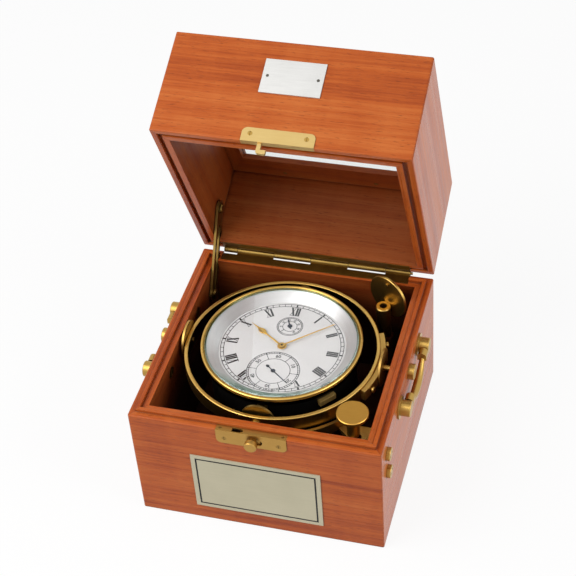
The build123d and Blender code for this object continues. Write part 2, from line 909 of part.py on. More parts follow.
def stay_fixing(y, z, radius):
    """A shouldered pin in the left wall that holds the stay, with a round head."""
    x = -inner_x
    reach = stay_wall_gap + stay_thickness + stay_side_gap
    pin = rod((x - stay_shank, y, z), (1, 0, 0), radius, stay_shank + reach)
    collar = rod((x, y, z), (1, 0, 0), stay_head_radius, stay_wall_gap - stay_side_gap)
    head = rod((x + reach, y, z), (1, 0, 0), stay_head_radius, stay_head_height)
    rim = head.edges().filter_by(GeomType.CIRCLE).sort_by(Axis.X)[-1]
    return pin + collar + chamfer(rim, 0.5)


def gimbal_pivot_screws():
    """The two screws that carry the ring: a head outside, a shank in the wall and a bare pivot."""
    screws = []
    for side in (-1, 1):
        face = (side * half_width, 0, gimbal_z)
        head = rod(face, (side, 0, 0), pivot_head_radius, pivot_head_length)
        head = chamfer(head.edges().filter_by(GeomType.CIRCLE).sort_by(Axis.X)[-1 if side > 0 else 0], 0.5)
        shank = rod(face, (-side, 0, 0), pivot_shank_radius, wall)
        tip = half_width - side * instrument_x - (ring_radius - ring_thickness - pivot_tip_reach)
        pivot = rod(face, (-side, 0, 0), box_pivot_radius, tip)
        screws.append(head + shank + pivot)
    return screws


def gimbal_ring():
    """The ring, with pivot holes at the sides and screw seats at front and back."""
    low, high = gimbal_z - ring_height / 2, gimbal_z + ring_height / 2
    inner = ring_radius - ring_thickness
    ring = turned([(inner, low), (ring_radius, low), (ring_radius, high), (inner, high)])
    ring = fillet(ring.edges().filter_by(GeomType.CIRCLE).group_by(Axis.Z)[-1], ring_edge)
    reach = 2 * (ring_radius + 1)
    ring -= rod((-reach / 2, 0, gimbal_z), (1, 0, 0), box_pivot_radius + running_clearance, reach)
    ring -= rod((0, -reach / 2, gimbal_z), (0, 1, 0), bowl_pivot_radius + running_clearance, reach)
    for end in (-1, 1):
        seat = (0, end * (ring_radius - pivot_seat_depth), gimbal_z)
        ring -= rod(seat, (0, end, 0), bowl_pivot_head_radius + running_clearance, bowl_pivot_head_length)
    return ring


def ring_saddle():
    """The arc plate that stiffens the ring at its right-hand pivot."""
    low, high = gimbal_z - saddle_height / 2, gimbal_z + saddle_height / 2
    outer = ring_radius + saddle_thickness
    band = turned([(ring_radius, low), (outer, low), (outer, high), (ring_radius, high)])
    reach = 2 * outer
    a = radians(saddle_half_angle)
    x, y = reach * cos(a), reach * sin(a)
    wedge = prism([(0, 0, low - 1), (x, -y, low - 1), (x, y, low - 1)], saddle_height + 2)
    saddle = band & wedge
    face = ring_radius + saddle_thickness - saddle_flat
    saddle -= block((face, -pivot_disc_radius, low - 1), (outer + 1, pivot_disc_radius, high + 1))
    bore = box_pivot_radius + running_clearance
    saddle -= rod((ring_radius - 1, 0, gimbal_z), (1, 0, 0), bore, saddle_thickness + 2)
    for turn in (-saddle_screw_angle, saddle_screw_angle):
        saddle -= saddle_bore(turn, saddle_screw_radius + running_clearance)
    return saddle


def saddle_bore(turn, radius):
    """A radial bore through the saddle."""
    a = radians(turn)
    floor = ring_radius + saddle_bore_floor
    start = (floor * cos(a), floor * sin(a), gimbal_z)
    return rod(start, (cos(a), sin(a), 0), radius, saddle_thickness + 2)


def saddle_screws():
    """Two knob-headed screws in the saddle."""
    screws = []
    for turn in (-saddle_screw_angle, saddle_screw_angle):
        a = radians(turn)
        out = (cos(a), sin(a), 0)
        foot = ring_radius + saddle_bore_floor
        head = ring_radius + saddle_thickness + saddle_knob_gap
        shank = rod((foot * cos(a), foot * sin(a), gimbal_z), out, saddle_screw_radius, head - foot)
        knob = rod((head * cos(a), head * sin(a), gimbal_z), out, saddle_knob_radius, saddle_knob_length / 2)
        screws.append(shank + knob)
    return screws


def ring_pivot_discs():
    """The thin discs on the outside of the ring at its two pivots."""
    discs = []
    places = ((-1, ring_radius), (1, ring_radius + saddle_thickness - saddle_flat))
    bore = box_pivot_radius + running_clearance
    for side, face in places:
        disc = rod((side * face, 0, gimbal_z), (side, 0, 0), pivot_disc_radius, pivot_disc_thickness)
        start = (side * (face - 1), 0, gimbal_z)
        discs.append(disc - rod(start, (side, 0, 0), bore, pivot_disc_thickness + 2))
    return discs


def bowl_pivot_screws():
    """The two screws at the front and back of the ring whose tips carry the bowl."""
    screws = []
    for end in (-1, 1):
        start = (0, end * (ring_radius - pivot_seat_depth), gimbal_z)
        head = rod(start, (0, end, 0), bowl_pivot_head_radius, bowl_pivot_head_length)
        length = ring_radius - bowl_radius - 2
        pin = rod(start, (0, -end, 0), bowl_pivot_radius, length)
        screws.append(head + pin)
    return screws


def bowl_pivot_bushes():
    """Flanged bushes on the bowl that turn on the ring's screws; the front one has a broad disc."""
    bushes = []
    inner_face = ring_radius - ring_thickness - ring_bush_gap - pivot_disc_thickness
    for end, radius in ((-1, front_disc_radius), (1, rear_disc_radius)):
        disc = rod((0, end * inner_face, gimbal_z), (0, end, 0), radius, pivot_disc_thickness)
        boss_length = inner_face - bowl_radius + 1
        boss = rod((0, end * (bowl_radius - 1), gimbal_z), (0, end, 0), pivot_boss_radius, boss_length)
        bush = (disc + boss) - Cylinder(bowl_radius, 4 * ring_height).moved(Location((0, 0, gimbal_z)))
        start = (0, end * (bowl_radius - 2), gimbal_z)
        bushes.append(bush - rod(start, (0, end, 0), bowl_pivot_radius + running_clearance, ring_radius))
    return bushes


def bowl_case():
    """The round-bottomed bowl with its winding hole."""
    outer = Cylinder(bowl_radius, bowl_rim_z - bowl_bottom_z, align=(Align.CENTER, Align.CENTER, Align.MIN))
    outer = fillet(outer.edges().filter_by(GeomType.CIRCLE).sort_by(Axis.Z)[0], bowl_bottom_radius)
    depth = bowl_rim_z - bowl_bottom_z - bowl_wall
    inner = Cylinder(bowl_radius - bowl_wall, depth + 1, align=(Align.CENTER, Align.CENTER, Align.MIN))
    inner_edge = inner.edges().filter_by(GeomType.CIRCLE).sort_by(Axis.Z)[0]
    inner = fillet(inner_edge, bowl_bottom_radius - bowl_wall)
    bowl = Pos(0, 0, bowl_bottom_z) * outer - Pos(0, 0, bowl_bottom_z + bowl_wall) * inner
    bowl -= rod((fusee_x, fusee_y, bowl_bottom_z - 1), (0, 0, 1), winding_hole_radius, 2 * bowl_wall + 1)
    x, y = shutter_pivot()
    bore = shutter_pivot_radius + running_clearance
    return bowl - rod((x, y, bowl_bottom_z - 1), (0, 0, 1), bore, 2 * bowl_wall + 1)


def shutter_pivot():
    return fusee_x - shutter_arm, fusee_y


def winding_shutter():
    """The dust shutter that swings clear of the winding hole."""
    top = bowl_bottom_z - shutter_gap
    x, y = shutter_pivot()
    plate = rod((fusee_x, fusee_y, top), (0, 0, -1), shutter_radius, shutter_thickness)
    plate += block((x, y - 3, top - shutter_thickness), (fusee_x, y + 3, top))
    plate += rod((x, y, top), (0, 0, -1), 3, shutter_thickness)
    length = shutter_thickness + bowl_wall
    return plate + rod((x, y, top - shutter_thickness), (0, 0, 1), shutter_pivot_radius, length)


def bezel():
    """The bezel ring: a skirt round the bowl, a rounded outer edge and a seat for the glass."""
    skirt_inner = bowl_radius + running_clearance
    seat = crystal_radius + running_clearance
    inner = crystal_radius - seat_width
    lip_z = crystal_seat_z + crystal_thickness - crystal_proud - 0.4
    body = turned([
        (skirt_inner, bowl_rim_z - bezel_skirt),
        (skirt_inner + bezel_skirt_wall, bowl_rim_z - bezel_skirt),
        (skirt_inner + bezel_skirt_wall, bowl_rim_z - 1),
        (bezel_radius, bowl_rim_z + 1),
        (bezel_radius, bezel_top_z),
        (seat + 0.9, bezel_top_z),
        (seat + 0.9, lip_z - 0.6),
        (seat + 0.45, lip_z - 0.6),
        (seat + 0.45, lip_z),
        (seat, lip_z),
        (seat, crystal_seat_z),
        (inner, crystal_seat_z),
        (inner, bowl_rim_z),
        (skirt_inner, bowl_rim_z),
    ])
    outer_edge = body.edges().filter_by(GeomType.CIRCLE).group_by(Axis.Z)[-1].sort_by(SortBy.RADIUS)[-1]
    return fillet(outer_edge, bezel_round)


def crystal():
    """The thick flat glass with a bevelled upper edge."""
    glass = rod((0, 0, crystal_seat_z), (0, 0, 1), crystal_radius, crystal_thickness)
    return chamfer(glass.edges().filter_by(GeomType.CIRCLE).sort_by(Axis.Z)[-1], 0.7)


def dial_flange():
    """The sloping reflector between the glass and the dial."""
    outer = crystal_radius - seat_width - running_clearance
    top = crystal_seat_z - 0.1
    low = dial_top_z
    return turned([
        (flange_inner_radius, low),
        (flange_inner_radius + 1.5, low),
        (outer, top - 1.5),
        (outer, top),
        (flange_inner_radius, low + 0.5),
    ])


def dial_plate():
    """The dial with its centre holes and three feet."""
    low = dial_top_z - dial_thickness
    dial = rod((0, 0, low), (0, 0, 1), dial_radius, dial_thickness)
    dial -= rod((0, 0, low - 1), (0, 0, 1), hour_pipe_radius + running_clearance, dial_thickness + 2)
    for y in (subdial_y, reserve_y):
        dial -= rod((0, y, low - 1), (0, 0, 1), small_arbor_radius + running_clearance, dial_thickness + 2)
    top = pivot_plate_z + plate_gauge
    for i in range(3):
        a = radians(30 + 120 * i)
        foot = (dial_foot_circle * cos(a), dial_foot_circle * sin(a), top)
        dial += rod(foot, (0, 0, 1), dial_foot_radius, low - top)
    return dial


def hand(length, root_width, tip_width, bulb_place, bulb_radius, tail, hub_radius):
    """A flat hand along +Y: a tapered blade, a bulb, a tail and a hub."""
    bulb_y = length * bulb_place
    blade = [
        (-root_width / 2, 0, 0),
        (root_width / 2, 0, 0),
        (tip_width / 2, length * 0.97, 0),
        (0, length, 0),
        (-tip_width / 2, length * 0.97, 0),
    ]
    solid = prism(blade, hand_thickness)
    if bulb_radius:
        solid += rod((0, bulb_y, 0), (0, 0, 1), bulb_radius, hand_thickness)
        side, foot = 0.9 * bulb_radius, bulb_y + bulb_radius / 3
        solid += prism([(-side, foot, 0), (side, foot, 0), (0, bulb_y + 3 * bulb_radius, 0)], hand_thickness)
    if tail:
        solid += block((-root_width / 2, -tail, 0), (root_width / 2, 0, hand_thickness))
        solid += rod((0, -tail, 0), (0, 0, 1), 1.6 * root_width, hand_thickness)
    return solid + rod((0, 0, 0), (0, 0, 1), hub_radius, hand_thickness)


def set_hand(solid, y, z, clockwise):
    """Puts a hand on its centre, turned clockwise from twelve as seen from above."""
    return Pos(0, y, z) * solid.rotate(Axis.Z, -clockwise)


def minute_hand():
    solid = set_hand(hand(minute_length, 1.3, 0.5, 0, 0, 6, 2.2), 0, minute_hand_z, minute_angle)
    foot = pivot_plate_z
    top = minute_hand_z + hand_thickness + arbor_tip
    return solid + rod((0, 0, foot), (0, 0, 1), minute_arbor_radius, top - foot)


def hour_hand():
    solid = set_hand(hand(hour_length, 1.6, 0.7, 0.66, 2.4, 0, 3.0), 0, hour_hand_z, hour_angle)
    foot = pivot_plate_z + plate_gauge + pipe_foot_gap
    pipe = rod((0, 0, foot), (0, 0, 1), hour_pipe_radius, hour_hand_z - foot)
    bore = rod((0, 0, foot - 1), (0, 0, 1), minute_arbor_radius + running_clearance, minute_hand_z - foot + 1)
    return solid + pipe - bore


def small_hand(length, width, tail, y, clockwise):
    """A blued hand on its own thin arbor."""
    solid = set_hand(hand(length, width, 0.3, 0, 0, tail, 1.3), y, small_hand_z, clockwise)
    foot = pivot_plate_z
    return solid + rod((0, y, foot), (0, 0, 1), small_arbor_radius, small_hand_z - foot)


def seconds_hand():
    return small_hand(seconds_length, 0.8, 7, subdial_y, seconds_angle)


def reserve_hand():
    return small_hand(reserve_length, 0.7, 2.5, reserve_y, reserve_angle)


def pillar_plate():
    """The plate under the dial with its four pillars."""
    plate = rod((0, 0, pivot_plate_z), (0, 0, 1), bowl_radius - bowl_wall - seat_fit, plate_gauge)
    for i in range(4):
        a = radians(70 + 90 * i)
        place = (pillar_circle * cos(a), pillar_circle * sin(a), lower_plate_top)
        plate += rod(place, (0, 0, 1), pillar_radius, pivot_plate_z - lower_plate_top)
    for y, r in ((0, minute_arbor_radius), (subdial_y, small_arbor_radius), (reserve_y, small_arbor_radius)):
        plate -= rod((0, y, pivot_plate_z - 1), (0, 0, 1), r + running_clearance, plate_gauge + 2)
    bore = arbor_radius + running_clearance
    for x, y in ((barrel_x, barrel_y), (fusee_x, fusee_y)):
        plate -= rod((x, y, pivot_plate_z - 1), (0, 0, 1), bore, plate_gauge / 2 + 1)
    return plate


def top_plate():
    """The outer plate of the movement, with the cock that carries the balance."""
    plate = rod((0, 0, lower_plate_z), (0, 0, 1), top_plate_radius, plate_gauge)
    low = lower_plate_z - balance_gap - balance_height - 2 * balance_gap
    post_y = balance_y - balance_radius - cock_width / 2 - 0.5
    plate += block(
        (balance_x - cock_width / 2, post_y - cock_width / 2, low),
        (balance_x + cock_width / 2, balance_y + cock_width / 2, low + cock_thickness),
    )
    plate += block(
        (balance_x - cock_width / 2, post_y - cock_width / 2, low),
        (balance_x + cock_width / 2, post_y + cock_width / 2, lower_plate_z),
    )
    for x, y in ((barrel_x, barrel_y), (fusee_x, fusee_y)):
        plate -= rod((x, y, lower_plate_z - 1), (0, 0, 1), arbor_radius + running_clearance, plate_gauge + 2)
    pivot = balance_arbor_radius + running_clearance
    start = (balance_x, balance_y, low + cock_thickness / 2)
    return plate - rod(start, (0, 0, 1), pivot, lower_plate_z - low)


def mainspring_barrel():
    """The spring barrel on its arbor."""
    low = (lower_plate_top + pivot_plate_z - mainspring_barrel_height) / 2
    drum = rod((barrel_x, barrel_y, low), (0, 0, 1), mainspring_barrel_radius, mainspring_barrel_height)
    foot = lower_plate_z
    arbor = rod((barrel_x, barrel_y, foot), (0, 0, 1), arbor_radius, pivot_plate_z + plate_gauge / 4 - foot)
    return drum + arbor


def fusee():
    """The grooved cone with its great wheel, on the arbor that the key winds."""
    wheel_low = lower_plate_top + 2
    cone_low = wheel_low + great_wheel_thickness
    cone_high = pivot_plate_z - 4
    pitch = (cone_high - cone_low) / fusee_turns
    points = [(arbor_radius / 2, cone_low)]
    for i in range(fusee_turns):
        share = i / fusee_turns
        r = fusee_large_radius + (fusee_small_radius - fusee_large_radius) * share ** 0.8
        z = cone_low + i * pitch
        points += [(r, z), (r, z + 0.3 * pitch), (r - 1.2, z + 0.65 * pitch)]
    points += [(fusee_small_radius, cone_high), (arbor_radius / 2, cone_high)]
    cone = Pos(fusee_x, fusee_y, 0) * turned(points)
    cone += Pos(fusee_x, fusee_y, 0) * toothed_wheel(wheel_low)
    foot = bowl_bottom_z + bowl_wall + 5
    arbor_length = pivot_plate_z + plate_gauge / 4 - lower_plate_z + 1
    cone += rod((fusee_x, fusee_y, lower_plate_z - 1), (0, 0, 1), arbor_radius, arbor_length)
    square = winding_square / 2
    return cone + block(
        (fusee_x - square, fusee_y - square, foot), (fusee_x + square, fusee_y + square, lower_plate_z - 0.5)
    )


def toothed_wheel(low):
    """The great wheel, one trapezoid tooth repeated round its rim."""
    points = []
    pitch = 2 * pi / great_wheel_teeth
    root = great_wheel_radius - tooth_height
    for i in range(great_wheel_teeth):
        for share, r in ((-0.3, root), (-0.16, great_wheel_radius), (0.16, great_wheel_radius), (0.3, root)):
            a = (i + share) * pitch
            points.append((r * cos(a), r * sin(a), low))
    return prism(points, great_wheel_thickness)


def balance_wheel():
    """The balance: a rim, a cross bar and its staff."""
    low = lower_plate_z - balance_gap - balance_height
    rim = rod((0, 0, low), (0, 0, 1), balance_radius, balance_height)
    rim -= rod((0, 0, low - 1), (0, 0, 1), balance_radius - balance_rim, balance_height + 2)
    bar = block((1 - balance_radius, -1.5, low), (balance_radius - 1, 1.5, low + 1.5))
    foot = lower_plate_z - balance_gap - balance_height - 2 * balance_gap + 0.75 * cock_thickness
    staff = rod((0, 0, foot), (0, 0, 1), balance_arbor_radius, lower_plate_z + 1 - foot)
    return Pos(balance_x, balance_y, 0) * (rim + bar + staff)


def gimbal_lock_bracket():
    """The corner bracket: a shelf clear of the ring's swing, and a leg bolted to the right wall."""
    low = bracket_top_z - bracket_thickness
    tip_x, tip_y = inner_x - bracket_tip_x, bracket_tip_y - inner_y
    clear = sqrt(lock_clear_radius**2 - bracket_back_y**2)
    shelf = prism(
        [
            (inner_x, -inner_y, low),
            (inner_x, bracket_back_y, low),
            (instrument_x + clear + bracket_edge_gap, bracket_back_y, low),
            (tip_x, tip_y, low),
            (inner_x - 1.5, -inner_y, low),
        ],
        bracket_thickness,
    )
    leg = block(
        (inner_x - bracket_thickness, -inner_y, bracket_top_z - bracket_leg_below),
        (inner_x, -inner_y + bracket_leg_depth, bracket_top_z + bracket_leg_above),
    )
    bracket = shelf + leg
    for z in lock_nut_zs:
        start = (inner_x - bracket_thickness - 1, lock_nut_y, z)
        bracket -= rod(start, (1, 0, 0), lock_bolt_radius + running_clearance, bracket_thickness + 2)
    bore = lock_spindle_radius + running_clearance
    return bracket - rod((lock_knob_x, lock_knob_y, low - 1), (0, 0, 1), bore, bracket_thickness + 2)


def gimbal_lock_nuts():
    """The two bolts of the bracket, with round two-hole nuts outside the box."""
    bolts = []
    for z in lock_nut_zs:
        nut = rod((half_width, lock_nut_y, z), (1, 0, 0), lock_nut_radius, lock_nut_length)
        nut = chamfer(nut.edges().filter_by(GeomType.CIRCLE).sort_by(Axis.X)[-1], 0.4)
        for y in (-2.6, 2.6):
            nut -= rod((half_width + lock_nut_length / 2, lock_nut_y + y, z), (1, 0, 0), 0.8, lock_nut_length)
        shank = rod((half_width, lock_nut_y, z), (-1, 0, 0), lock_bolt_radius, wall + bracket_thickness)
        bolts.append(nut + shank)
    return bolts


def gimbal_lock_knob():
    """The cap knob, its stem and the spindle that turns in the bracket."""
    at = (lock_knob_x, lock_knob_y)
    arm_top = bracket_top_z + lock_gap + lock_arm_thickness + lock_gap
    cap = rod((*at, lock_knob_top_z - lock_cap_thickness), (0, 0, 1), lock_cap_radius, lock_cap_thickness)
    cap = chamfer(cap.edges().filter_by(GeomType.CIRCLE), 0.5)
    stem = rod((*at, arm_top), (0, 0, 1), lock_stem_radius, lock_knob_top_z - lock_cap_thickness - arm_top)
    foot = bracket_top_z - bracket_thickness - 1
    spindle = rod((*at, foot), (0, 0, 1), lock_spindle_radius, arm_top - foot)
    collar = rod((*at, foot - 1), (0, 0, 1), lock_spindle_radius + 1.5, 1 - lock_gap + 1)
    return cap + stem + spindle + collar


def lock_shoe(low):
    """The curved upright strip beside the ring, drawn with the arm along +X."""
    inner, outer, high = lock_clear_radius, lock_clear_radius + lock_shoe_thickness, low + lock_shoe_height
    band = turned([(inner, low), (outer, low), (outer, high), (inner, high)])
    far = 2 * outer
    start = asin(lock_arm_width / 2 / outer)
    stop = -radians(lock_shoe_sweep)
    ends = [(far * cos(a), far * sin(a), low - 1) for a in (stop, start)]
    return band & prism([(0, 0, low - 1), *ends], lock_shoe_height + 2)


def gimbal_lock_arm():
    """The slotted arm that the knob pushes under the ring, with its curved shoe."""
    ux, uy, reach = lock_direction()
    low = bracket_top_z + lock_gap
    slot = lock_spindle_radius + lock_gap
    end = reach + lock_arm_travel + slot + lock_arm_rim
    w = lock_arm_width / 2
    arm = block((lock_clear_radius + lock_shoe_thickness / 2, -w, low), (end, w, low + lock_arm_thickness))
    arm += lock_shoe(low)
    arm -= block((reach, -slot, low - 1), (reach + lock_arm_travel, slot, low + lock_arm_thickness + 1))
    for x in (reach, reach + lock_arm_travel):
        arm -= rod((x, 0, low - 1), (0, 0, 1), slot, lock_arm_thickness + 2)
    return Pos(instrument_x, 0, 0) * arm.rotate(Axis.Z, degrees(atan2(uy, ux)))


def bowl_lock_block():
    """The small bar on the bowl's side beside the lock."""
    inner = bowl_radius - 1
    bar = block(
        (inner, -lock_block_length / 2, lock_block_z - lock_block_height / 2),
        (bowl_radius + lock_block_depth, lock_block_length / 2, lock_block_z + lock_block_height / 2),
    )
    bar -= Cylinder(bowl_radius, 4 * ring_height).moved(Location((0, 0, gimbal_z)))
    return bar.rotate(Axis.Z, lock_block_angle)


def winding_key():
    """The key: a flat round grip with a tube soldered to its face, bored for the winding square."""
    turn = radians(key_turn)
    nx, ny = -sin(turn), -cos(turn)
    centre = (key_disc_x, key_disc_y, key_disc_z)
    back = tuple(c + n * -key_disc_thickness / 2 for c, n in zip(centre, (nx, ny, 0)))
    disc = rod(back, (nx, ny, 0), key_disc_radius, key_disc_thickness)
    disc = chamfer(disc.edges().filter_by(GeomType.CIRCLE), 0.4)
    reach = key_tube_radius + key_disc_thickness / 2 - 1.0
    tube_x, tube_y = key_disc_x + nx * reach, key_disc_y + ny * reach
    tube = rod((tube_x, tube_y, key_tube_top_z), (0, 0, -1), key_tube_radius, key_tube_length)
    tube = chamfer(tube.edges().filter_by(GeomType.CIRCLE).sort_by(Axis.Z)[-1], 0.6)
    stud_x, stud_y = key_disc_x + nx * key_disc_thickness / 2, key_disc_y + ny * key_disc_thickness / 2
    stud = rod((stud_x, stud_y, key_disc_z + key_stud_rise), (nx, ny, 0), key_stud_radius, key_stud_length)
    bore = rod((tube_x, tube_y, key_tube_top_z + 1), (0, 0, -1), key_tube_bore, key_tube_length + 2)
    return disc + tube + stud - bore


def key_holder():
    """The post in the corner: a foot, and a peg that the key's tube stands on."""
    turn = radians(key_turn)
    reach = key_tube_radius + key_disc_thickness / 2 - 1.0
    x, y = key_disc_x - sin(turn) * reach, key_disc_y - cos(turn) * reach
    tube_foot = key_tube_top_z - key_tube_length
    foot = rod((x, y, floor_thickness), (0, 0, 1), holder_radius, tube_foot - lock_gap - floor_thickness)
    peg_length = key_tube_length * 0.7
    return foot + rod((x, y, tube_foot - lock_gap), (0, 0, 1), key_tube_bore - running_clearance, peg_length)


def at_instrument(shape):
    """A piece drawn about the instrument's own centre, set in its place in the box."""
    if isinstance(shape, list):
        return [Pos(instrument_x, 0, 0) * solid for solid in shape]
    return Pos(instrument_x, 0, 0) * shape


def base_parts():
    """The nodes of the box's base and of what it holds beside the instrument."""
    return {
        "base_front_board": base_board("front"),
        "base_back_board": base_board("back"),
        "base_left_board": base_board("left"),
        "base_right_board": base_board("right"),
        "base_floor": base_floor(),
        "hinge_base_leaf": hinge_leaf(False, 1),
        "hinge_pin": hinge_pin(),
        "lock_plate": lock_plate(),
        "lock_screws": lock_screws(),
        "latch_knob": latch_knob(),
        "label_plate": label_plate(),
        "handle_posts": handle_posts(),
        "handle_nuts": handle_nuts(),
        "left_handle": bail(-1),
        "right_handle": bail(1),
        "gimbal_pivot_screws": gimbal_pivot_screws(),
        "stay_stud": stay_fixing(stay_stud_y, stay_stud_z, stay_stud_radius),
        "lid_stay": lid_stay(),
        "gimbal_lock_bracket": gimbal_lock_bracket(),
        "gimbal_lock_nuts": gimbal_lock_nuts(),
        "gimbal_lock_knob": gimbal_lock_knob(),
        "gimbal_lock_arm": gimbal_lock_arm(),
        "key_holder": key_holder(),
        "winding_key": winding_key(),
    }


def lid_parts():
    """The nodes of the lid."""
    return {
        "lid_front_board": lid_board("front"),
        "lid_back_board": lid_board("back"),
        "lid_left_board": lid_board("left"),
        "lid_right_board": lid_board("right"),
        "lid_top_rails": lid_top(),
        "window_glass": window_glass(),
        "window_frame": window_frame(),
        "window_frame_screws": window_frame_screws(),
        "hinge_lid_leaf": opened(hinge_leaf(True, 0)),
        "catch_plate": catch_plate(),
        "catch_screws": catch_screws(),
        "nameplate": nameplate(),
        "nameplate_screws": nameplate_screws(),
        "stay_pivot_screw": opened(stay_fixing(stay_pivot_y, stay_pivot_z, stay_pivot_radius)),
    }


def instrument_parts():
    """The nodes of the gimbals and the chronometer, drawn about their own centre."""
    return {
        "gimbal_ring": gimbal_ring(),
        "ring_saddle": ring_saddle(),
        "saddle_screws": saddle_screws(),
        "ring_pivot_discs": ring_pivot_discs(),
        "bowl_pivot_screws": bowl_pivot_screws(),
        "bowl_pivot_bushes": bowl_pivot_bushes(),
        "bowl_case": bowl_case(),
        "bezel": bezel(),
        "crystal": crystal(),
        "dial_flange": dial_flange(),
        "dial_plate": dial_plate(),
        "bowl_lock_block": bowl_lock_block(),
        "pillar_plate": pillar_plate(),
        "movement_top_plate": top_plate(),
        "mainspring_barrel": mainspring_barrel(),
        "fusee": fusee(),
        "balance_wheel": balance_wheel(),
        "minute_hand": minute_hand(),
        "hour_hand": hour_hand(),
        "seconds_hand": seconds_hand(),
        "reserve_hand": reserve_hand(),
        "winding_shutter": winding_shutter(),
    }


nodes = base_parts() | lid_parts()
nodes |= {name: at_instrument(shape) for name, shape in instrument_parts().items()}
os.makedirs("parts", exist_ok=True)
for name, shape in nodes.items():
    solids = shape if isinstance(shape, list) else [shape]
    whole = Compound(children=[s for piece in solids for s in piece.solids()])
    export_step(whole, f"parts/{name}.step")
    print(name, len(whole.solids()), round(whole.volume))
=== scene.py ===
# %% [markdown]
# # A marine chronometer in its box
# The wood, the brass and the instrument come from the imported model.
# Blender gives them their finish, and adds what is too fine for a solid: the printing on the dial, the
# domed hands, the rounded bead of the bezel and the line round the label. Everything is in metres, and
# the box stands on z = 0 with its front towards -Y.

# %% Load the model
from math import cos, pi, radians, sin

import bmesh
import bpy
import numpy as np
from mathutils import Matrix, Vector


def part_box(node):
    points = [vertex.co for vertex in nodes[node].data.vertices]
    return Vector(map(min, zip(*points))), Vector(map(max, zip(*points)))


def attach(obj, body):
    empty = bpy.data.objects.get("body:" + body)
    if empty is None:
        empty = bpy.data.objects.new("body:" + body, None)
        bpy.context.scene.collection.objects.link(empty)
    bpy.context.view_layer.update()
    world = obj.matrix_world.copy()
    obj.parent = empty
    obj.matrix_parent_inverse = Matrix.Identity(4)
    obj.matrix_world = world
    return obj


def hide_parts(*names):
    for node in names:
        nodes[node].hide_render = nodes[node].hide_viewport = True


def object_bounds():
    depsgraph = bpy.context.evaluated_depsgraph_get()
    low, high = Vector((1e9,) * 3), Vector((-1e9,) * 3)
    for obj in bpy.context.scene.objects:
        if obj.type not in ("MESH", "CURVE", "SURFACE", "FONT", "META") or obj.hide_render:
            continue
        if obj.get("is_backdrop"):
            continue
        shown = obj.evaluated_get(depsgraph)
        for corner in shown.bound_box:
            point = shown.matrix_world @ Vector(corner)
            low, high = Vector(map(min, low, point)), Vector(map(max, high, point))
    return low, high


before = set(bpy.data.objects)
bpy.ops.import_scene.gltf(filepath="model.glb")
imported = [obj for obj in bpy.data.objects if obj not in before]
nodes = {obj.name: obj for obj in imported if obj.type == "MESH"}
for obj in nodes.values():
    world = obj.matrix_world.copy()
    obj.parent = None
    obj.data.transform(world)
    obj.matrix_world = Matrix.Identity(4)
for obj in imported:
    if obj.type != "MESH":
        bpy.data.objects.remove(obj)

cad_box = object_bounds()

# %% [markdown]
# ## Places that the pieces share
# The instrument hangs a little to the left of the box's middle, and its two small dials lie below and
# above its centre. Such places could be typed in wherever they are needed, but then a change would miss
# some of them. So they are read off the nodes' own boxes where that is possible, and otherwise named once
# here.

# %% Shared places
MM = 0.001
LID_ANGLE = radians(66.14)
HINGE = Vector((0, 94.6, 101.65)) * MM
SECONDS_BELOW, RESERVE_ABOVE = 25.5 * MM, 22.5 * MM
dial_low, dial_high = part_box("dial_plate")
CENTRE_X = (dial_low.x + dial_high.x) / 2
DIAL_TOP = dial_high.z
CENTRE = np.array([CENTRE_X, 0])
SECONDS_CENTRE = CENTRE - (0, SECONDS_BELOW)
RESERVE_CENTRE = CENTRE + (0, RESERVE_ABOVE)
print("dial at x, z =", round(CENTRE_X / MM, 2), round(DIAL_TOP / MM, 2), "mm")

# %% [markdown]
# ## Camera
# The camera stands where the photograph was taken from: to the right of the front, looking down at 42
# degrees, and tilted a little to the left. It could be moved by eye until the picture looks right. Here
# its place, turn and focal length were fitted to the box's straight edges, because those show small
# errors best.

# %% Camera
CAMERA_PLACE = Vector((0.2667, -0.7914, 0.9191))
CAMERA_BACK = Vector((0.2319, -0.7016, 0.6738)).normalized()
CAMERA_ROLL = radians(-4.73)
CAMERA_LENS = 98.33


def look_from(place, back, roll, lens):
    """A camera at a place. Its axes are: back, right = up x back, and both turned about back by the roll."""
    level = Vector((0, 0, 1)).cross(back).normalized()
    upward = back.cross(level)
    right = cos(roll) * level + sin(roll) * upward
    up = cos(roll) * upward - sin(roll) * level
    camera = bpy.data.objects.new("camera", bpy.data.cameras.new("camera"))
    camera.data.lens = lens
    camera.data.clip_start, camera.data.clip_end = 0.05, 20
    turn = Matrix((right, up, back)).transposed().to_4x4()
    camera.matrix_world = Matrix.Translation(place) @ turn
    bpy.context.scene.collection.objects.link(camera)
    bpy.context.scene.camera = camera
    return camera


camera = look_from(CAMERA_PLACE, CAMERA_BACK, CAMERA_ROLL, CAMERA_LENS)
bpy.context.scene.view_settings.view_transform = "Standard"
print("camera distance:", round((camera.location - HINGE).length, 3), "m")

# %% [markdown]
# ## Nodes, colours and sums
# A finish is a small network of nodes. It could be drawn by hand in the shader editor; written as calls,
# it can be read, repeated and changed in one place. A few helpers keep the networks short: one adds a
# node and fills or links its sockets, one mixes two colours, and one stretches a number from one range
# onto another.

# %% Nodes, colours and sums
def tone(red, green, blue):
    """A colour written as on a screen, 0 to 255, as the linear values that Blender works with."""
    c = np.array([red, green, blue]) / 255
    linear = np.where(c <= 0.04045, c / 12.92, ((c + 0.055) / 1.055) ** 2.4)
    return (*linear.tolist(), 1.0)


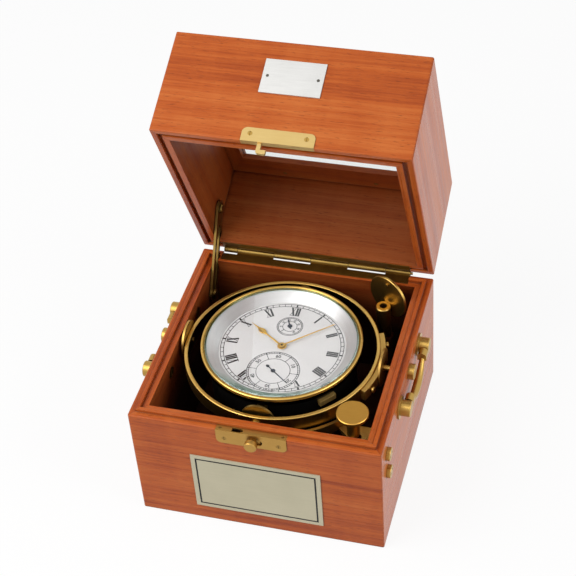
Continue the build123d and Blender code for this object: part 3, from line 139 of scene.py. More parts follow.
def add(tree, kind, inputs=None, **settings):
    """A node of a kind. Its inputs are set to values, or linked when given another node's output."""
    node = tree.nodes.new(kind)
    for key, value in settings.items():
        setattr(node, key, value)
    for key, value in (inputs or {}).items():
        if isinstance(value, bpy.types.NodeSocket):
            tree.links.new(value, node.inputs[key])
        else:
            node.inputs[key].default_value = value
    return node


def blend(tree, factor, first, second):
    """Two colours mixed by a factor from 0 to 1."""
    return add(tree, "ShaderNodeMix", {0: factor, 6: first, 7: second}, data_type="RGBA").outputs[2]


def maths(tree, how, first, second=0.0):
    """One sum on two numbers."""
    return add(tree, "ShaderNodeMath", {0: first, 1: second}, operation=how).outputs[0]


def spread(tree, value, low, high, to_low=0.0, to_high=1.0):
    """A number's range from low to high stretched onto another range, and held at its ends."""
    inputs = {"Value": value, "From Min": low, "From Max": high, "To Min": to_low, "To Max": to_high}
    return add(tree, "ShaderNodeMapRange", inputs).outputs[0]


print("a grey of 128 is", round(tone(128, 128, 128)[0], 3), "in linear light")

# %% [markdown]
# ## The studio
# The box stands on white paper in white surroundings. These could be lit until they look white, but that
# much light would wash out the object. So their white goes only to what the camera, a mirror or a glass
# looks at, and the light that falls on the object comes from a weaker sky and two soft panels.

# %% Surround
SKY_LIGHT = 0.30
WHITE = tone(255, 255, 255)


def seen(tree):
    """1 for what the camera, a mirror or a glass looks at, 0 for light on its way to a surface."""
    path = add(tree, "ShaderNodeLightPath").outputs
    direct = maths(tree, "MAXIMUM", path["Is Camera Ray"], path["Is Glossy Ray"])
    return maths(tree, "MAXIMUM", direct, path["Is Transmission Ray"])


def make_surround():
    """A world that looks white, and lights the object by the sky's light only."""
    world = bpy.data.worlds.new("surround")
    world.use_nodes = True
    tree = world.node_tree
    sky = tree.nodes["Background"]
    sky.inputs["Color"].default_value = WHITE
    tree.links.new(spread(tree, seen(tree), 0, 1, SKY_LIGHT, 1.0), sky.inputs["Strength"])
    bpy.context.scene.world = world


make_surround()
print("sky light:", SKY_LIGHT)

# %% [markdown]
# The paper mixes real shading with that white, so the box's soft shadow stays on it. A plain white glow
# would lose the shadow. It throws back less light than it shows, because a sheet that bright would pale
# the boards.

# %% Floor
FLOOR_SIZE, FLOOR_DROP = 6.0, 0.3 * MM
FLOOR_GLOW = 0.90
FLOOR_THROWN = tone(206, 204, 202)


def floor_paper():
    """Paper that is part shaded and part glowing where it is looked at, and only shaded for other light."""
    material = bpy.data.materials.new("studio_floor")
    material.use_nodes = True
    tree = material.node_tree
    tree.nodes.clear()
    looked_at = seen(tree)
    colour = blend(tree, looked_at, FLOOR_THROWN, WHITE)
    shaded = add(tree, "ShaderNodeBsdfDiffuse", {"Color": colour}).outputs[0]
    glowing = add(tree, "ShaderNodeEmission", {"Color": WHITE, "Strength": 1.0}).outputs[0]
    share = maths(tree, "MULTIPLY", looked_at, FLOOR_GLOW)
    both = add(tree, "ShaderNodeMixShader", {0: share, 1: shaded, 2: glowing}).outputs[0]
    add(tree, "ShaderNodeOutputMaterial", {"Surface": both})
    return material


def make_floor():
    """A square sheet just below the box, marked as the stage."""
    mesh = bpy.data.meshes.new("studio_floor")
    corners = FLOOR_SIZE / 2 * np.array([(-1, -1, 0), (1, -1, 0), (1, 1, 0), (-1, 1, 0)])
    mesh.from_pydata((corners - (0, 0, FLOOR_DROP)).tolist(), [], [(0, 1, 2, 3)])
    mesh.materials.append(floor_paper())
    floor = bpy.data.objects.new("studio_floor", mesh)
    bpy.context.scene.collection.objects.link(floor)
    floor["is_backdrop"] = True


make_floor()
print("floor:", FLOOR_SIZE, "m wide")

# %% [markdown]
# Two soft panels light it: a near one at the left front, for the fronts and the dial, and a far one at
# the right, for the side. Small lamps would do too, but they throw hard shadows and leave sharp glints in
# the varnish.

# %% Lamps
BOX_MIDDLE = Vector((0, 0, 0.1))


def panel(name, place_m, size, watts):
    """A square soft lamp that faces the middle of the box."""
    lamp = bpy.data.lights.new(name, "AREA")
    lamp.size, lamp.energy = size, watts
    holder = bpy.data.objects.new(name, lamp)
    aim = BOX_MIDDLE - Vector(place_m)
    turn = aim.to_track_quat("-Z", "Y").to_matrix().to_4x4()
    holder.matrix_world = Matrix.Translation(place_m) @ turn
    bpy.context.scene.collection.objects.link(holder)
    print(name, "of", watts, "W at", round(aim.length, 2), "m")


panel("left_panel", (-0.82, -0.66, 1.12), size=1.2, watts=16.5)
panel("right_panel", (1.7, -0.3, 1.0), size=1.2, watts=14)

# %% [markdown]
# ## Patterns and materials
# Wood, brushed metal and lacquer are never one flat colour. Pictures could be wrapped round the pieces.
# Noise that reads the place of each point needs no wrapping, shows no seams and stays fine from near by,
# and stretching it gives it a direction. A material then takes such a pattern as its colour, its
# roughness and its fine relief.

# %% Patterns from the place of a point
def place(tree):
    """The place of a point on the object, in metres."""
    return add(tree, "ShaderNodeTexCoord").outputs["Object"]


def parts_of(tree, vector):
    """The X, Y and Z of a vector."""
    return add(tree, "ShaderNodeSeparateXYZ", {0: vector}).outputs


def stretched(tree, vector, scale=(1, 1, 1), turn=(0, 0, 0), shift=(0, 0, 0)):
    """Coordinates scaled, then turned, then shifted."""
    inputs = {"Vector": vector, "Scale": scale, "Rotation": turn, "Location": shift}
    return add(tree, "ShaderNodeMapping", inputs).outputs[0]


def from_axis(tree, vector):
    """The distance from the instrument's upright axis."""
    inputs = {0: stretched(tree, vector, scale=(1, 1, 0), shift=(-CENTRE_X, 0, 0))}
    return add(tree, "ShaderNodeVectorMath", inputs, operation="LENGTH").outputs["Value"]


def noise(tree, vector, scale=1.0, detail=3.0, roughness=0.5, distortion=0.0):
    """Soft random patches; scale is how many fit in a unit of the vector."""
    inputs = {
        "Vector": vector, "Scale": scale, "Detail": detail, "Roughness": roughness, "Distortion": distortion,
    }
    return add(tree, "ShaderNodeTexNoise", inputs).outputs[0]


def weighted(tree, *pairs):
    """Several numbers, each times its weight, added up."""
    total = maths(tree, "MULTIPLY", *pairs[0])
    for pair in pairs[1:]:
        total = maths(tree, "ADD", total, maths(tree, "MULTIPLY", *pair))
    return total


def ramp(tree, value, *stops):
    """A colour for each value: stops are (position, colour)."""
    node = add(tree, "ShaderNodeValToRGB", {0: value})
    elements = node.color_ramp.elements
    for _ in stops[2:]:
        elements.new(0.5)
    for element, (position, colour) in zip(elements, stops):
        element.position, element.color = position, colour
    return node.outputs[0]


print("turned patterns run round x =", round(CENTRE_X / MM, 2), "mm")

# %% [markdown]
# A material is the main shader with such patterns on its sockets. It could be made over for each piece.
# Here one helper starts it, one gives it relief and rounded edges, and one puts it into the slots of the
# nodes that share it.

# %% Materials and where they go
def new_material(name, **surface):
    """A material with its main shader's sockets set; returns the material, its network and that shader."""
    material = bpy.data.materials.new(name)
    material.use_nodes = True
    shader = material.node_tree.nodes["Principled BSDF"]
    for key, value in surface.items():
        shader.inputs[key.replace("_", " ")].default_value = value
    return material, material.node_tree, shader


def relief(tree, shader, height, depth, edge=0.0):
    """Fine relief from a height of 0 to 1, that deep in metres, on edges that look rounded by a radius."""
    inputs = {"Height": height, "Distance": depth}
    if edge:
        inputs["Normal"] = add(tree, "ShaderNodeBevel", {"Radius": edge}, samples=6).outputs[0]
    tree.links.new(add(tree, "ShaderNodeBump", inputs).outputs[0], shader.inputs["Normal"])


def dress(material, *names):
    """The named nodes get this material in all their slots."""
    for name in names:
        slots = nodes[name].material_slots
        for slot in slots:
            slot.material = material
        if not slots:
            nodes[name].data.materials.append(material)
    print(material.name, "on", ", ".join(names))


print("slots to dress:", sum(len(node.material_slots) for node in nodes.values()))

# %% [markdown]
# ## Mahogany
# The boards are straight-grained mahogany. Plain noise would look like stone: what makes it wood is that
# the grain follows each board. So the pattern is laid along X or Y to suit the board, and along each rail
# of a mitred frame. On the lid's boards the coordinates are first turned back to the shut place.

# %% Grain along each board
INNER_HALF = 80.5 * MM, 80.0 * MM


def shut_place(tree):
    """The place of a point of the lid when the lid is shut: turned back about the hinge."""
    moved_y = HINGE.y * (1 - cos(LID_ANGLE)) + HINGE.z * sin(LID_ANGLE)
    moved_z = HINGE.z * (1 - cos(LID_ANGLE)) - HINGE.y * sin(LID_ANGLE)
    return stretched(tree, place(tree), turn=(LID_ANGLE, 0, 0), shift=(0, moved_y, moved_z))


def along_rails(tree, start, swapped, opening, outside):
    """Coordinates along each rail of a mitred frame, whose opening and outside are half sizes in X and Y."""
    reach = []
    for part, low, high in zip(parts_of(tree, start), opening, outside):
        size = maths(tree, "ABSOLUTE", part)
        reach.append(maths(tree, "DIVIDE", maths(tree, "SUBTRACT", size, low), high - low))
    side_rail = maths(tree, "GREATER_THAN", *reach)
    return add(tree, "ShaderNodeMix", {0: side_rail, 4: start, 5: swapped}, data_type="VECTOR").outputs[1]


def grain_vector(tree, along, on_lid, shift):
    """Coordinates whose X runs along the grain. along is X, Y, or the opening of a mitred frame."""
    start = shut_place(tree) if on_lid else place(tree)
    swapped = stretched(tree, start, turn=(0, 0, -pi / 2))
    if isinstance(along, tuple):
        chosen = along_rails(tree, start, swapped, along, INNER_HALF)
    else:
        chosen = start if along == "X" else swapped
    return stretched(tree, chosen, shift=(shift, 1.7 * shift, 2.3 * shift))


print("box inside:", round(2 * INNER_HALF[0] / MM), "by", round(2 * INNER_HALF[1] / MM), "mm")

# %% [markdown]
# Inside the box the wood is painted darker as shade, most of all deep in the base, and so are the narrow
# gaps between pieces and the pocket behind the lock plate. This could be painted on by hand. Here the
# walls and the pocket are found by their place, and gaps by ambient occlusion, which measures how much
# of the surroundings a point sees, so that a change of shape takes the painted shade with it.

# %% Where shade is painted on the wood
LID_DARKNESS = 0.42
BASE_DARKNESS = 0.5, 0.97
BASE_HEIGHTS = 98 * MM, 54 * MM
WALL_SLACK = 0.1 * MM
POCKET_HALF_WIDTH, POCKET_TOP = 25 * MM, 100.9 * MM
POCKET_BACK, POCKET_FRONT = 84 * MM, 92.4 * MM


def crevices(tree, reach, strength):
    """The strength in narrow gaps, found by ambient occlusion, and 0 in the open: a mask for painted shade.
    """
    open_share = add(tree, "ShaderNodeAmbientOcclusion", {"Distance": reach}, samples=6).outputs["AO"]
    return spread(tree, open_share, 0.35, 0.85, strength, 0.0)


def product(tree, first, *others):
    """Several numbers multiplied."""
    for other in others:
        first = maths(tree, "MULTIPLY", first, other)
    return first


def sheltered(tree, on_lid):
    """Painted shade: 0 on the outside and more on the inside walls, most of all deep in the base."""
    start = shut_place(tree) if on_lid else place(tree)
    x, y, z = [maths(tree, "ABSOLUTE", part) for part in parts_of(tree, start)]
    inside_x = maths(tree, "LESS_THAN", x, INNER_HALF[0] + WALL_SLACK)
    inside_y = maths(tree, "LESS_THAN", y, INNER_HALF[1] + WALL_SLACK)
    darkness = LID_DARKNESS if on_lid else spread(tree, z, *BASE_HEIGHTS, *BASE_DARKNESS)
    return product(tree, inside_x, inside_y, darkness)


def lock_pocket(tree):
    """1 on the walls of the pocket behind the lock plate, where shade is painted, as only its slots let light
    in.
    """
    x, y, z = [maths(tree, "ABSOLUTE", part) for part in parts_of(tree, place(tree))]
    beside = maths(tree, "LESS_THAN", x, POCKET_HALF_WIDTH)
    behind_plate = maths(tree, "LESS_THAN", y, POCKET_FRONT)
    before_wall = maths(tree, "GREATER_THAN", y, POCKET_BACK)
    below_rim = maths(tree, "LESS_THAN", z, POCKET_TOP)
    return product(tree, beside, behind_plate, before_wall, below_rim)


print("pocket:", round((POCKET_FRONT - POCKET_BACK) / MM, 1), "mm deep")

# %% [markdown]
# The wood itself has soft bands that run the length of the board, finer streaks, straight fibres, a faint
# mottle across them and short dark pores. A wave texture could draw growth rings, but these boards show
# none, so each of the five is a noise stretched along the grain, or across it for the mottle. Over it
# lies a thin satin varnish, into which the pores sink a little. The corners look slightly rounded, as
# sandpaper leaves them.

# %% Mahogany
WOOD_DARK = tone(158, 64, 21)
WOOD_MIDDLE = tone(193, 93, 36)
WOOD_LIGHT = tone(213, 118, 56)
WOOD_PORE = tone(106, 40, 15)
WOOD_PAINTED_SHADE = tone(24, 8, 3)
SEAM_SHADE = tone(46, 16, 8)
SEAM_SHADE_REACH = 3.5 * MM
CORNER = 0.7 * MM
PORE_DEPTH = 0.03 * MM


def wood_noise(tree, vector, stretch, detail=3, roughness=0.6, distortion=0.0):
    """Noise stretched by how often it changes along the grain, and across it both ways."""
    return noise(tree, stretched(tree, vector, stretch), 1, detail, roughness, distortion)


def mahogany(name, along, on_lid=False, shift=0.0, shade_all_over=0.0, seam_shade=0.8, pocket=None):
    """Varnished mahogany, with shade painted inside the box and in its seams; shade_all_over paints shade on
    all of it.
    """
    material, tree, shader = new_material(name, IOR=1.32)
    vector = grain_vector(tree, along, on_lid, shift)
    bands = wood_noise(tree, vector, (1.6, 60, 60), roughness=0.55, distortion=0.25)
    streaks = wood_noise(tree, vector, (5, 210, 210))
    fibres = wood_noise(tree, vector, (22, 800, 800))
    mottle = wood_noise(tree, vector, (60, 14, 14), detail=2, roughness=0.5, distortion=0.5)
    pores = wood_noise(tree, vector, (170, 1500, 1500), detail=2, roughness=0.5)
    level = weighted(tree, (bands, 0.38), (streaks, 0.26), (fibres, 0.24), (mottle, 0.12))
    colour = ramp(tree, level, (0.38, WOOD_DARK), (0.50, WOOD_MIDDLE), (0.64, WOOD_LIGHT))
    pore_mask = spread(tree, pores, 0.60, 0.74, 0.0, 0.6)
    colour = blend(tree, pore_mask, colour, WOOD_PORE)
    # Shade is painted on the inside walls.
    inner = shade_all_over or sheltered(tree, on_lid)
    colour = blend(tree, inner, colour, WOOD_PAINTED_SHADE)
    # Shade is painted in the seams and gaps that ambient occlusion finds.
    colour = blend(tree, crevices(tree, SEAM_SHADE_REACH, seam_shade), colour, SEAM_SHADE)
    # Shade is painted in the pocket behind the lock plate.
    if pocket:
        colour = blend(tree, pocket(tree), colour, WOOD_PAINTED_SHADE)
    tree.links.new(colour, shader.inputs["Base Color"])
    satin = spread(tree, streaks, 0.3, 0.7, 0.24, 0.36)
    tree.links.new(weighted(tree, (satin, 1.0), (inner, 0.4)), shader.inputs["Roughness"])
    relief(tree, shader, weighted(tree, (fibres, 0.3), (pore_mask, -1.0)), PORE_DEPTH, CORNER)
    return material


print("pores sink", round(PORE_DEPTH / MM, 3), "mm, corners look rounded by", round(CORNER / MM, 1), "mm")

# %% [markdown]
# Twelve pieces are made of such wood. With one material for all, the same bands would show twice side by
# side, so each piece has its own, with the pattern shifted along and across.

# %% Boards, floor and frames
BOARDS = {"front": "X", "back": "X", "left": "Y", "right": "Y"}
BASE_SHIFTS = 0.11, 0.37, 0.53, 0.71
LID_SHIFTS = 0.19, 0.43, 0.61, 0.83
LID_OPENING = 69.0 * MM, 64.5 * MM
FRAME_OPENING = 69.0 * MM, 57.0 * MM

for (side, along), shift in zip(BOARDS.items(), BASE_SHIFTS):
    pocket = lock_pocket if side == "front" else None
    dress(mahogany(f"mahogany_base_{side}", along, shift=shift, pocket=pocket), f"base_{side}_board")
for (side, along), shift in zip(BOARDS.items(), LID_SHIFTS):
    dress(mahogany(f"mahogany_lid_{side}", along, on_lid=True, shift=shift), f"lid_{side}_board")
# The base's floor and the key holder lie deep in the box, so shade is painted all over them.
dress(mahogany("mahogany_base_floor", "X", shift=0.93, shade_all_over=0.93), "base_floor")
dress(mahogany("mahogany_key_holder", "Y", shift=0.97, shade_all_over=0.85), "key_holder")
dress(mahogany("mahogany_top_rails", LID_OPENING, on_lid=True, shift=0.29), "lid_top_rails")
dress(mahogany("mahogany_window_frame", FRAME_OPENING, on_lid=True, shift=0.33, seam_shade=0.0), "window_frame")

# %% [markdown]
# ## Brass
# The fittings are satin brass under clear lacquer: a warm metal whose shine is broken by very fine lines.
# A plain rough metal would do from afar, but near by the lines tell how a piece was made. On flat plates
# they run straight, as a brushing wheel leaves them, and on turned rings they run round the axis, as a
# lathe tool leaves them. The gimbal ring's walls are painted dark, as a painted reflection of the black
# bowl and the dark box, and the foot of the bezel black, as painted shade; both are found by their radius
# and height.

# %% Lines and walls painted dark
RING_INNER, RING_OUTER = 70.34 * MM, 73.28 * MM
RING_STEP = 0.08 * MM
BEAD_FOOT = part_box("bezel")[1].z - 3.3 * MM
BEAD_STEP = 0.15 * MM


def straight_lines(tree, vector):
    """Fine lines along X."""
    return noise(tree, stretched(tree, vector, (60, 2600, 2600)), 1, 3, 0.6)


def round_lines(tree, vector):
    """Fine lines round the instrument's axis: noise that depends on the radius and the height only."""
    line = add(tree, "ShaderNodeCombineXYZ", {0: from_axis(tree, vector), 2: parts_of(tree, vector)[2]})
    return noise(tree, line.outputs[0], 2400, 2, 0.6)


def ring_walls(tree, vector):
    """Nearly 1 on the gimbal ring's inner wall and half on its outer wall, as painted dark reflections."""
    radius = from_axis(tree, vector)
    inner = spread(tree, radius, RING_INNER, RING_INNER + RING_STEP, 0.92, 0.0)
    outer = spread(tree, radius, RING_OUTER - RING_STEP, RING_OUTER, 0.0, 0.5)
    return maths(tree, "ADD", inner, outer)


def below_bead(tree, vector):
    """1 below the bezel's bead, where black is painted on as shade."""
    return spread(tree, parts_of(tree, vector)[2], BEAD_FOOT, BEAD_FOOT + BEAD_STEP, 1.0, 0.0)


print("bead's foot at z =", round(BEAD_FOOT / MM, 2), "mm")

# %% [markdown]
# In slots and gaps, where no cloth reaches, the metal is made brown: partly dirt, and partly painted shade.
# The brasses differ in polish and in age, and two of them in painted light and shade. Each could be a
# network of its own; one function makes them all, from a bright tone, a dull tone and a roughness, so
# they stay one family.

# %% Brass
GRIME_AND_SHADE = tone(58, 38, 14)
DARK_STEEL_AND_SHADE = tone(22, 14, 8)
GRIME_AND_SHADE_REACH = 0.8 * MM
LINE_DEPTH = 0.006 * MM
FITTING_EDGE, RING_EDGE = 0.15 * MM, 0.8 * MM


def brass(name, bright, dull, roughness, lines, spots=0.35, grime_and_shade=0.6, edge=FITTING_EDGE, dark_steel_and_shade=None):
    """Satin brass: fine lines, dulled patches, grime and painted shade in gaps, black where
    dark_steel_and_shade says.
    """
    material, tree, shader = new_material(name, Metallic=1.0, Roughness=roughness)
    vector = place(tree)
    patches = noise(tree, vector, 55, 5, 0.6)
    fine = lines(tree, vector)
    colour = blend(tree, spread(tree, patches, 0.35, 0.75, 0.0, spots), bright, dull)
    colour = blend(tree, spread(tree, fine, 0.35, 0.65, 0.0, 0.22), colour, dull)
    # Grime and painted shade in the gaps that ambient occlusion finds.
    colour = blend(tree, crevices(tree, GRIME_AND_SHADE_REACH, grime_and_shade), colour, GRIME_AND_SHADE)
    if dark_steel_and_shade:
        colour = blend(tree, dark_steel_and_shade(tree, vector), colour, DARK_STEEL_AND_SHADE)
    tree.links.new(colour, shader.inputs["Base Color"])
    wear = weighted(tree, (patches, 0.16), (fine, 0.12))
    dulled = spread(tree, wear, 0.05, 0.25, roughness - 0.08, roughness + 0.08)
    tree.links.new(dulled, shader.inputs["Roughness"])
    relief(tree, shader, fine, LINE_DEPTH, edge)
    return material


bright_brass = brass("bright_brass", tone(210, 182, 120), tone(186, 152, 90), 0.40, straight_lines)
# The lock's block gets a brighter tone as painted light, since it lies in shade.
lock_block_brass_painted_light = brass("lock_block_brass_painted_light", tone(244, 206, 128), tone(220, 176, 96), 0.6, straight_lines)
lock_knob_brass = brass("lock_knob_brass", tone(216, 166, 78), tone(190, 138, 58), 0.40, straight_lines)
# The lock plate's brass is darker than the catch's: painted shade for its dimmer reflection.
lock_plate_brass = brass("lock_plate_brass", tone(186, 146, 78), tone(158, 118, 56), 0.42, straight_lines)
turned_brass = brass("turned_brass", tone(208, 168, 92), tone(168, 126, 60), 0.42, round_lines)
bezel_brass = brass(
    "bezel_brass", tone(224, 184, 100), tone(188, 144, 68), 0.30, round_lines, dark_steel_and_shade=below_bead,
)
ring_brass = brass(
    "gimbal_ring_brass", tone(222, 182, 100), tone(186, 142, 68), 0.32, round_lines, edge=RING_EDGE,
    dark_steel_and_shade=ring_walls,
)
fitting_brass = brass("fitting_brass", tone(190, 154, 82), tone(150, 114, 54), 0.34, straight_lines)
screw_brass = brass("screw_brass", tone(168, 132, 70), tone(128, 96, 46), 0.36, straight_lines, 0.5, 0.9)
aged_brass = brass("aged_brass", tone(150, 122, 66), tone(96, 74, 34), 0.38, straight_lines, 0.6)
movement_brass = brass("gilt_movement_brass", tone(222, 182, 96), tone(190, 148, 70), 0.3, round_lines)
print("brasses:", ", ".join(material.name for material in bpy.data.materials if "brass" in material.name))

# %% [markdown]
# The block beside the gimbal's lock is the brightest, as painted light on a block that lies in shade, and
# the catch plate the palest. The lock plate is darker, as painted shade for its dimmer reflection. The
# screws of the lock and of the window's frame carry the most grime and painted shade, and the hinge and
# the stay have aged brown. The bezel, most of the gimbals and all of the movement get round lines, and
# the rest gets straight ones.

# %% Brass fittings
dress(bright_brass, "catch_plate")
dress(lock_plate_brass, "lock_plate", "latch_knob", "gimbal_lock_bracket", "gimbal_lock_arm")
dress(lock_knob_brass, "gimbal_lock_knob")
dress(
    fitting_brass, "handle_posts", "handle_nuts", "left_handle", "right_handle", "gimbal_pivot_screws",
    "gimbal_lock_nuts", "saddle_screws", "winding_key", "catch_screws",
)
dress(screw_brass, "lock_screws", "window_frame_screws")
dress(turned_brass, "ring_saddle", "ring_pivot_discs", "bowl_pivot_screws")
dress(ring_brass, "gimbal_ring")
dress(bezel_brass, "bezel")
dress(lock_block_brass_painted_light, "bowl_lock_block")
dress(
    aged_brass, "hinge_base_leaf", "hinge_lid_leaf", "hinge_pin", "stay_stud", "stay_pivot_screw", "lid_stay",
    "bowl_pivot_bushes",
)
dress(
    movement_brass, "pillar_plate", "movement_top_plate", "mainspring_barrel", "fusee", "balance_wheel",
    "winding_shutter",
)

# %% [markdown]
# ## Black lacquer and blued steel
# The bowl is lacquered black, and the small hands are steel, blued by heat. Both could be one dark
# colour. Soft clouds in its tone and its shine keep the lacquer from looking like plastic, and a tint
# that wanders keeps the blue from looking painted.

# %% Black lacquer and blued steel
def lacquer_black():
    """Black with faint clouds in its tone and its shine."""
    material, tree, shader = new_material("black_lacquer", Roughness=0.42, IOR=1.32)
    clouds = noise(tree, place(tree), 60, 4, 0.6)
    tree.links.new(blend(tree, clouds, tone(9, 8, 8), tone(20, 18, 16)), shader.inputs["Base Color"])
    tree.links.new(spread(tree, clouds, 0.3, 0.7, 0.36, 0.5), shader.inputs["Roughness"])
    relief(tree, shader, noise(tree, place(tree), 900, 2), 0.005 * MM)
    return material


def blued():
    """Dark steel whose tint wanders between grey, blue and a trace of purple."""
    material, tree, shader = new_material("blued_steel", Metallic=0.9, Roughness=0.3)
    hue = noise(tree, place(tree), 260, 3)
    colours = ramp(tree, hue, (0.3, tone(34, 36, 42)), (0.55, tone(44, 50, 66)), (0.75, tone(54, 52, 62)))
    tree.links.new(colours, shader.inputs["Base Color"])
    return material


blued_steel = blued()
dress(lacquer_black(), "bowl_case")

# %% [markdown]
# ## Silver and gilt
# The dial is silvered: a matt, very fine grain that is nearly white. The ring that slopes up from it is
# brighter and turned, and carries a painted reflection of the green edge of the thick glass above it.
# That green could come from a real volume of tinted glass, which is slow and noisy, so it is painted on
# the ring: a fine line at its upper edge, and more at the front. The label and the nameplate are the
# same kind of metal in other tones, and the large hands are gilt.

# %% Silvered metal and gilt
GLASS_GREEN = tone(118, 160, 142)
GREEN_LINE = 55.3 * MM, 55.9 * MM
GREEN_FRONT = -36 * MM, -50 * MM
ARBOR_EDGE = 0.95 * MM, 1.15 * MM
GRAIN_DEPTH = 0.004 * MM


def silvered(name, light, shade, metal, roughness, lines, tint=None):
    """Silvered metal between two greys, with a grain of fine lines; tint recolours it from its network."""
    material, tree, shader = new_material(name, Metallic=metal, Roughness=roughness)
    vector = place(tree)
    clouds = noise(tree, vector, 40, 4, 0.55)
    grain = lines(tree, vector)
    mixed = weighted(tree, (clouds, 0.5), (grain, 0.5))
    colour = blend(tree, spread(tree, mixed, 0.3, 0.7), shade, light)
    if tint:
        colour = tint(tree, vector, colour)
    tree.links.new(colour, shader.inputs["Base Color"])
    frosted = spread(tree, grain, 0.3, 0.7, roughness - 0.05, roughness + 0.05)
    tree.links.new(frosted, shader.inputs["Roughness"])
    relief(tree, shader, grain, GRAIN_DEPTH)
    return material


def matt_grain(tree, vector):
    """A frosted grain with no direction."""
    return noise(tree, vector, 3800, 2, 0.6)


def glass_shade(tree, vector, colour):
    """Painted reflection of the glass's green on the ring: a fine line at its upper edge, more towards the
    front.
    """
    line = spread(tree, from_axis(tree, vector), *GREEN_LINE, 0.0, 0.25)
    front = spread(tree, parts_of(tree, vector)[1], *GREEN_FRONT, 0.0, 0.85)
    return blend(tree, maths(tree, "MAXIMUM", line, front), colour, GLASS_GREEN)


def hub_centre(tree, vector):
    """Nearly 1 on the end of the centre arbor, which is dark steel in the gilt hub."""
    return spread(tree, from_axis(tree, vector), *ARBOR_EDGE, 0.8, 0.0)


dial_silver = silvered("silvered_dial", tone(190, 188, 187), tone(182, 180, 179), 0.1, 0.55, matt_grain)
flange_silver = silvered(
    "silvered_flange", tone(226, 226, 225), tone(206, 206, 206), 0.85, 0.32, round_lines, glass_shade,
)
label_plate = silvered("champagne_plate", tone(206, 199, 172), tone(192, 186, 158), 0.3, 0.45, straight_lines)
name_plate = silvered("nickel_plate", tone(232, 231, 228), tone(214, 213, 210), 0.5, 0.38, straight_lines)
steel_screws = silvered("steel_screws", tone(120, 116, 108), tone(84, 80, 74), 0.9, 0.4, straight_lines)
gilt = brass(
    "gilt_hand", tone(228, 180, 66), tone(196, 146, 38), 0.3, straight_lines, 0.2, 0.4, dark_steel_and_shade=hub_centre,
)
dress(dial_silver, "dial_plate")
dress(flange_silver, "dial_flange")
dress(label_plate, "label_plate")
dress(name_plate, "nameplate")
dress(steel_screws, "nameplate_screws")

# %% [markdown]
# ## Glass
# There are two panes: the instrument's thick glass, whose green shows at its edge, and the lid's window.
# Real glass lets light through to what lies under it. A path tracer finds that light slowly, so for
# shadow rays the glass is mixed with a clear shader, and the dial under it is lit as in daylight.

# %% Glass
GREEN_EDGE = 56.0 * MM, 56.6 * MM


def clear_glass(name, tint, edge_tint=None):
    """Glass of a tint, with another at its edge, where that is given."""
    surface = {"Roughness": 0.0, "IOR": 1.38, "Transmission_Weight": 1.0, "Base_Color": tint}
    material, tree, shader = new_material(name, **surface)
    if edge_tint:
        edge = spread(tree, from_axis(tree, place(tree)), *GREEN_EDGE)
        tree.links.new(blend(tree, edge, tint, edge_tint), shader.inputs["Base Color"])
    clear = add(tree, "ShaderNodeBsdfTransparent", {"Color": tint}).outputs[0]
    shadow = add(tree, "ShaderNodeLightPath").outputs["Is Shadow Ray"]
    both = add(tree, "ShaderNodeMixShader", {0: shadow, 1: shader.outputs[0], 2: clear}).outputs[0]
    tree.links.new(both, tree.nodes["Material Output"].inputs["Surface"])
    return material


dress(clear_glass("crystal_glass", WHITE, tone(168, 202, 186)), "crystal")
dress(clear_glass("window_glass", tone(250, 254, 253)), "window_glass")

# %% [markdown]
# ## Making new pieces
# Every new piece is worked out as arrays of points: flat printing as quads in the plane, and curved
# pieces as grids of points, one function of two parameters each. They could be shaped by hand in edit
# mode, but a formula keeps each size where it can be read. A helper turns the arrays into an object that
# rides on its body.

# %% Grids and pieces
WELD = 0.001 * MM


def grid_faces(rows, columns, round_rows=False, round_columns=False):
    """The quads between neighbouring points of a grid; a round side joins its last line to its first."""
    i, j = np.meshgrid(
        np.arange(rows if round_rows else rows - 1),
        np.arange(columns if round_columns else columns - 1),
        indexing="ij",
    )
    k, m = (i + 1) % rows, (j + 1) % columns
    return np.stack([i * columns + j, i * columns + m, k * columns + m, k * columns + j], -1).reshape(-1, 4)


def joined(*shapes):
    """Several shapes, each its points and its faces, as one: faces count on from the points before them."""
    starts = np.cumsum([0] + [len(points) for points, _ in shapes[:-1]])
    faces = [(np.asarray(face) + start).tolist() for (_, some), start in zip(shapes, starts) for face in some]
    return np.concatenate([points for points, _ in shapes]), faces


def tidy(mesh):
    """Doubles merged, and normals made to agree."""
    work = bmesh.new()
    work.from_mesh(mesh)
    bmesh.ops.remove_doubles(work, verts=work.verts, dist=WELD)
    bmesh.ops.dissolve_degenerate(work, edges=work.edges, dist=WELD)
    bmesh.ops.recalc_face_normals(work, faces=work.faces)
    work.to_mesh(mesh)
    work.free()


def new_piece(name, points, faces, material, body, sharp=35.0):
    """A mesh object from points and faces, with doubles merged, normals outwards, riding on a body."""
    mesh = bpy.data.meshes.new(name)
    mesh.from_pydata(np.asarray(points, float).reshape(-1, 3).tolist(), [], [list(face) for face in faces])
    tidy(mesh)
    mesh.materials.append(material)
    mesh.shade_smooth()
    mesh.set_sharp_from_angle(angle=radians(sharp))
    piece = bpy.data.objects.new(name, mesh)
    bpy.context.scene.collection.objects.link(piece)
    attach(piece, body)
    print(name, "with", len(mesh.polygons), "faces on", body)
    return piece


print("a grid of 4 by 5 points has", len(grid_faces(4, 5)), "faces")

# %% [markdown]
# ## Printing on the dial
# The dial carries a railway track of sixty minutes, twelve Roman numerals with their heads outwards, a
# seconds dial below the centre and a small up-and-down dial above it, all in black ink. It could be a
# picture laid on the dial. As thin pieces of ink it stays sharp from near by.

# %% Ink
COAT = 0.03 * MM


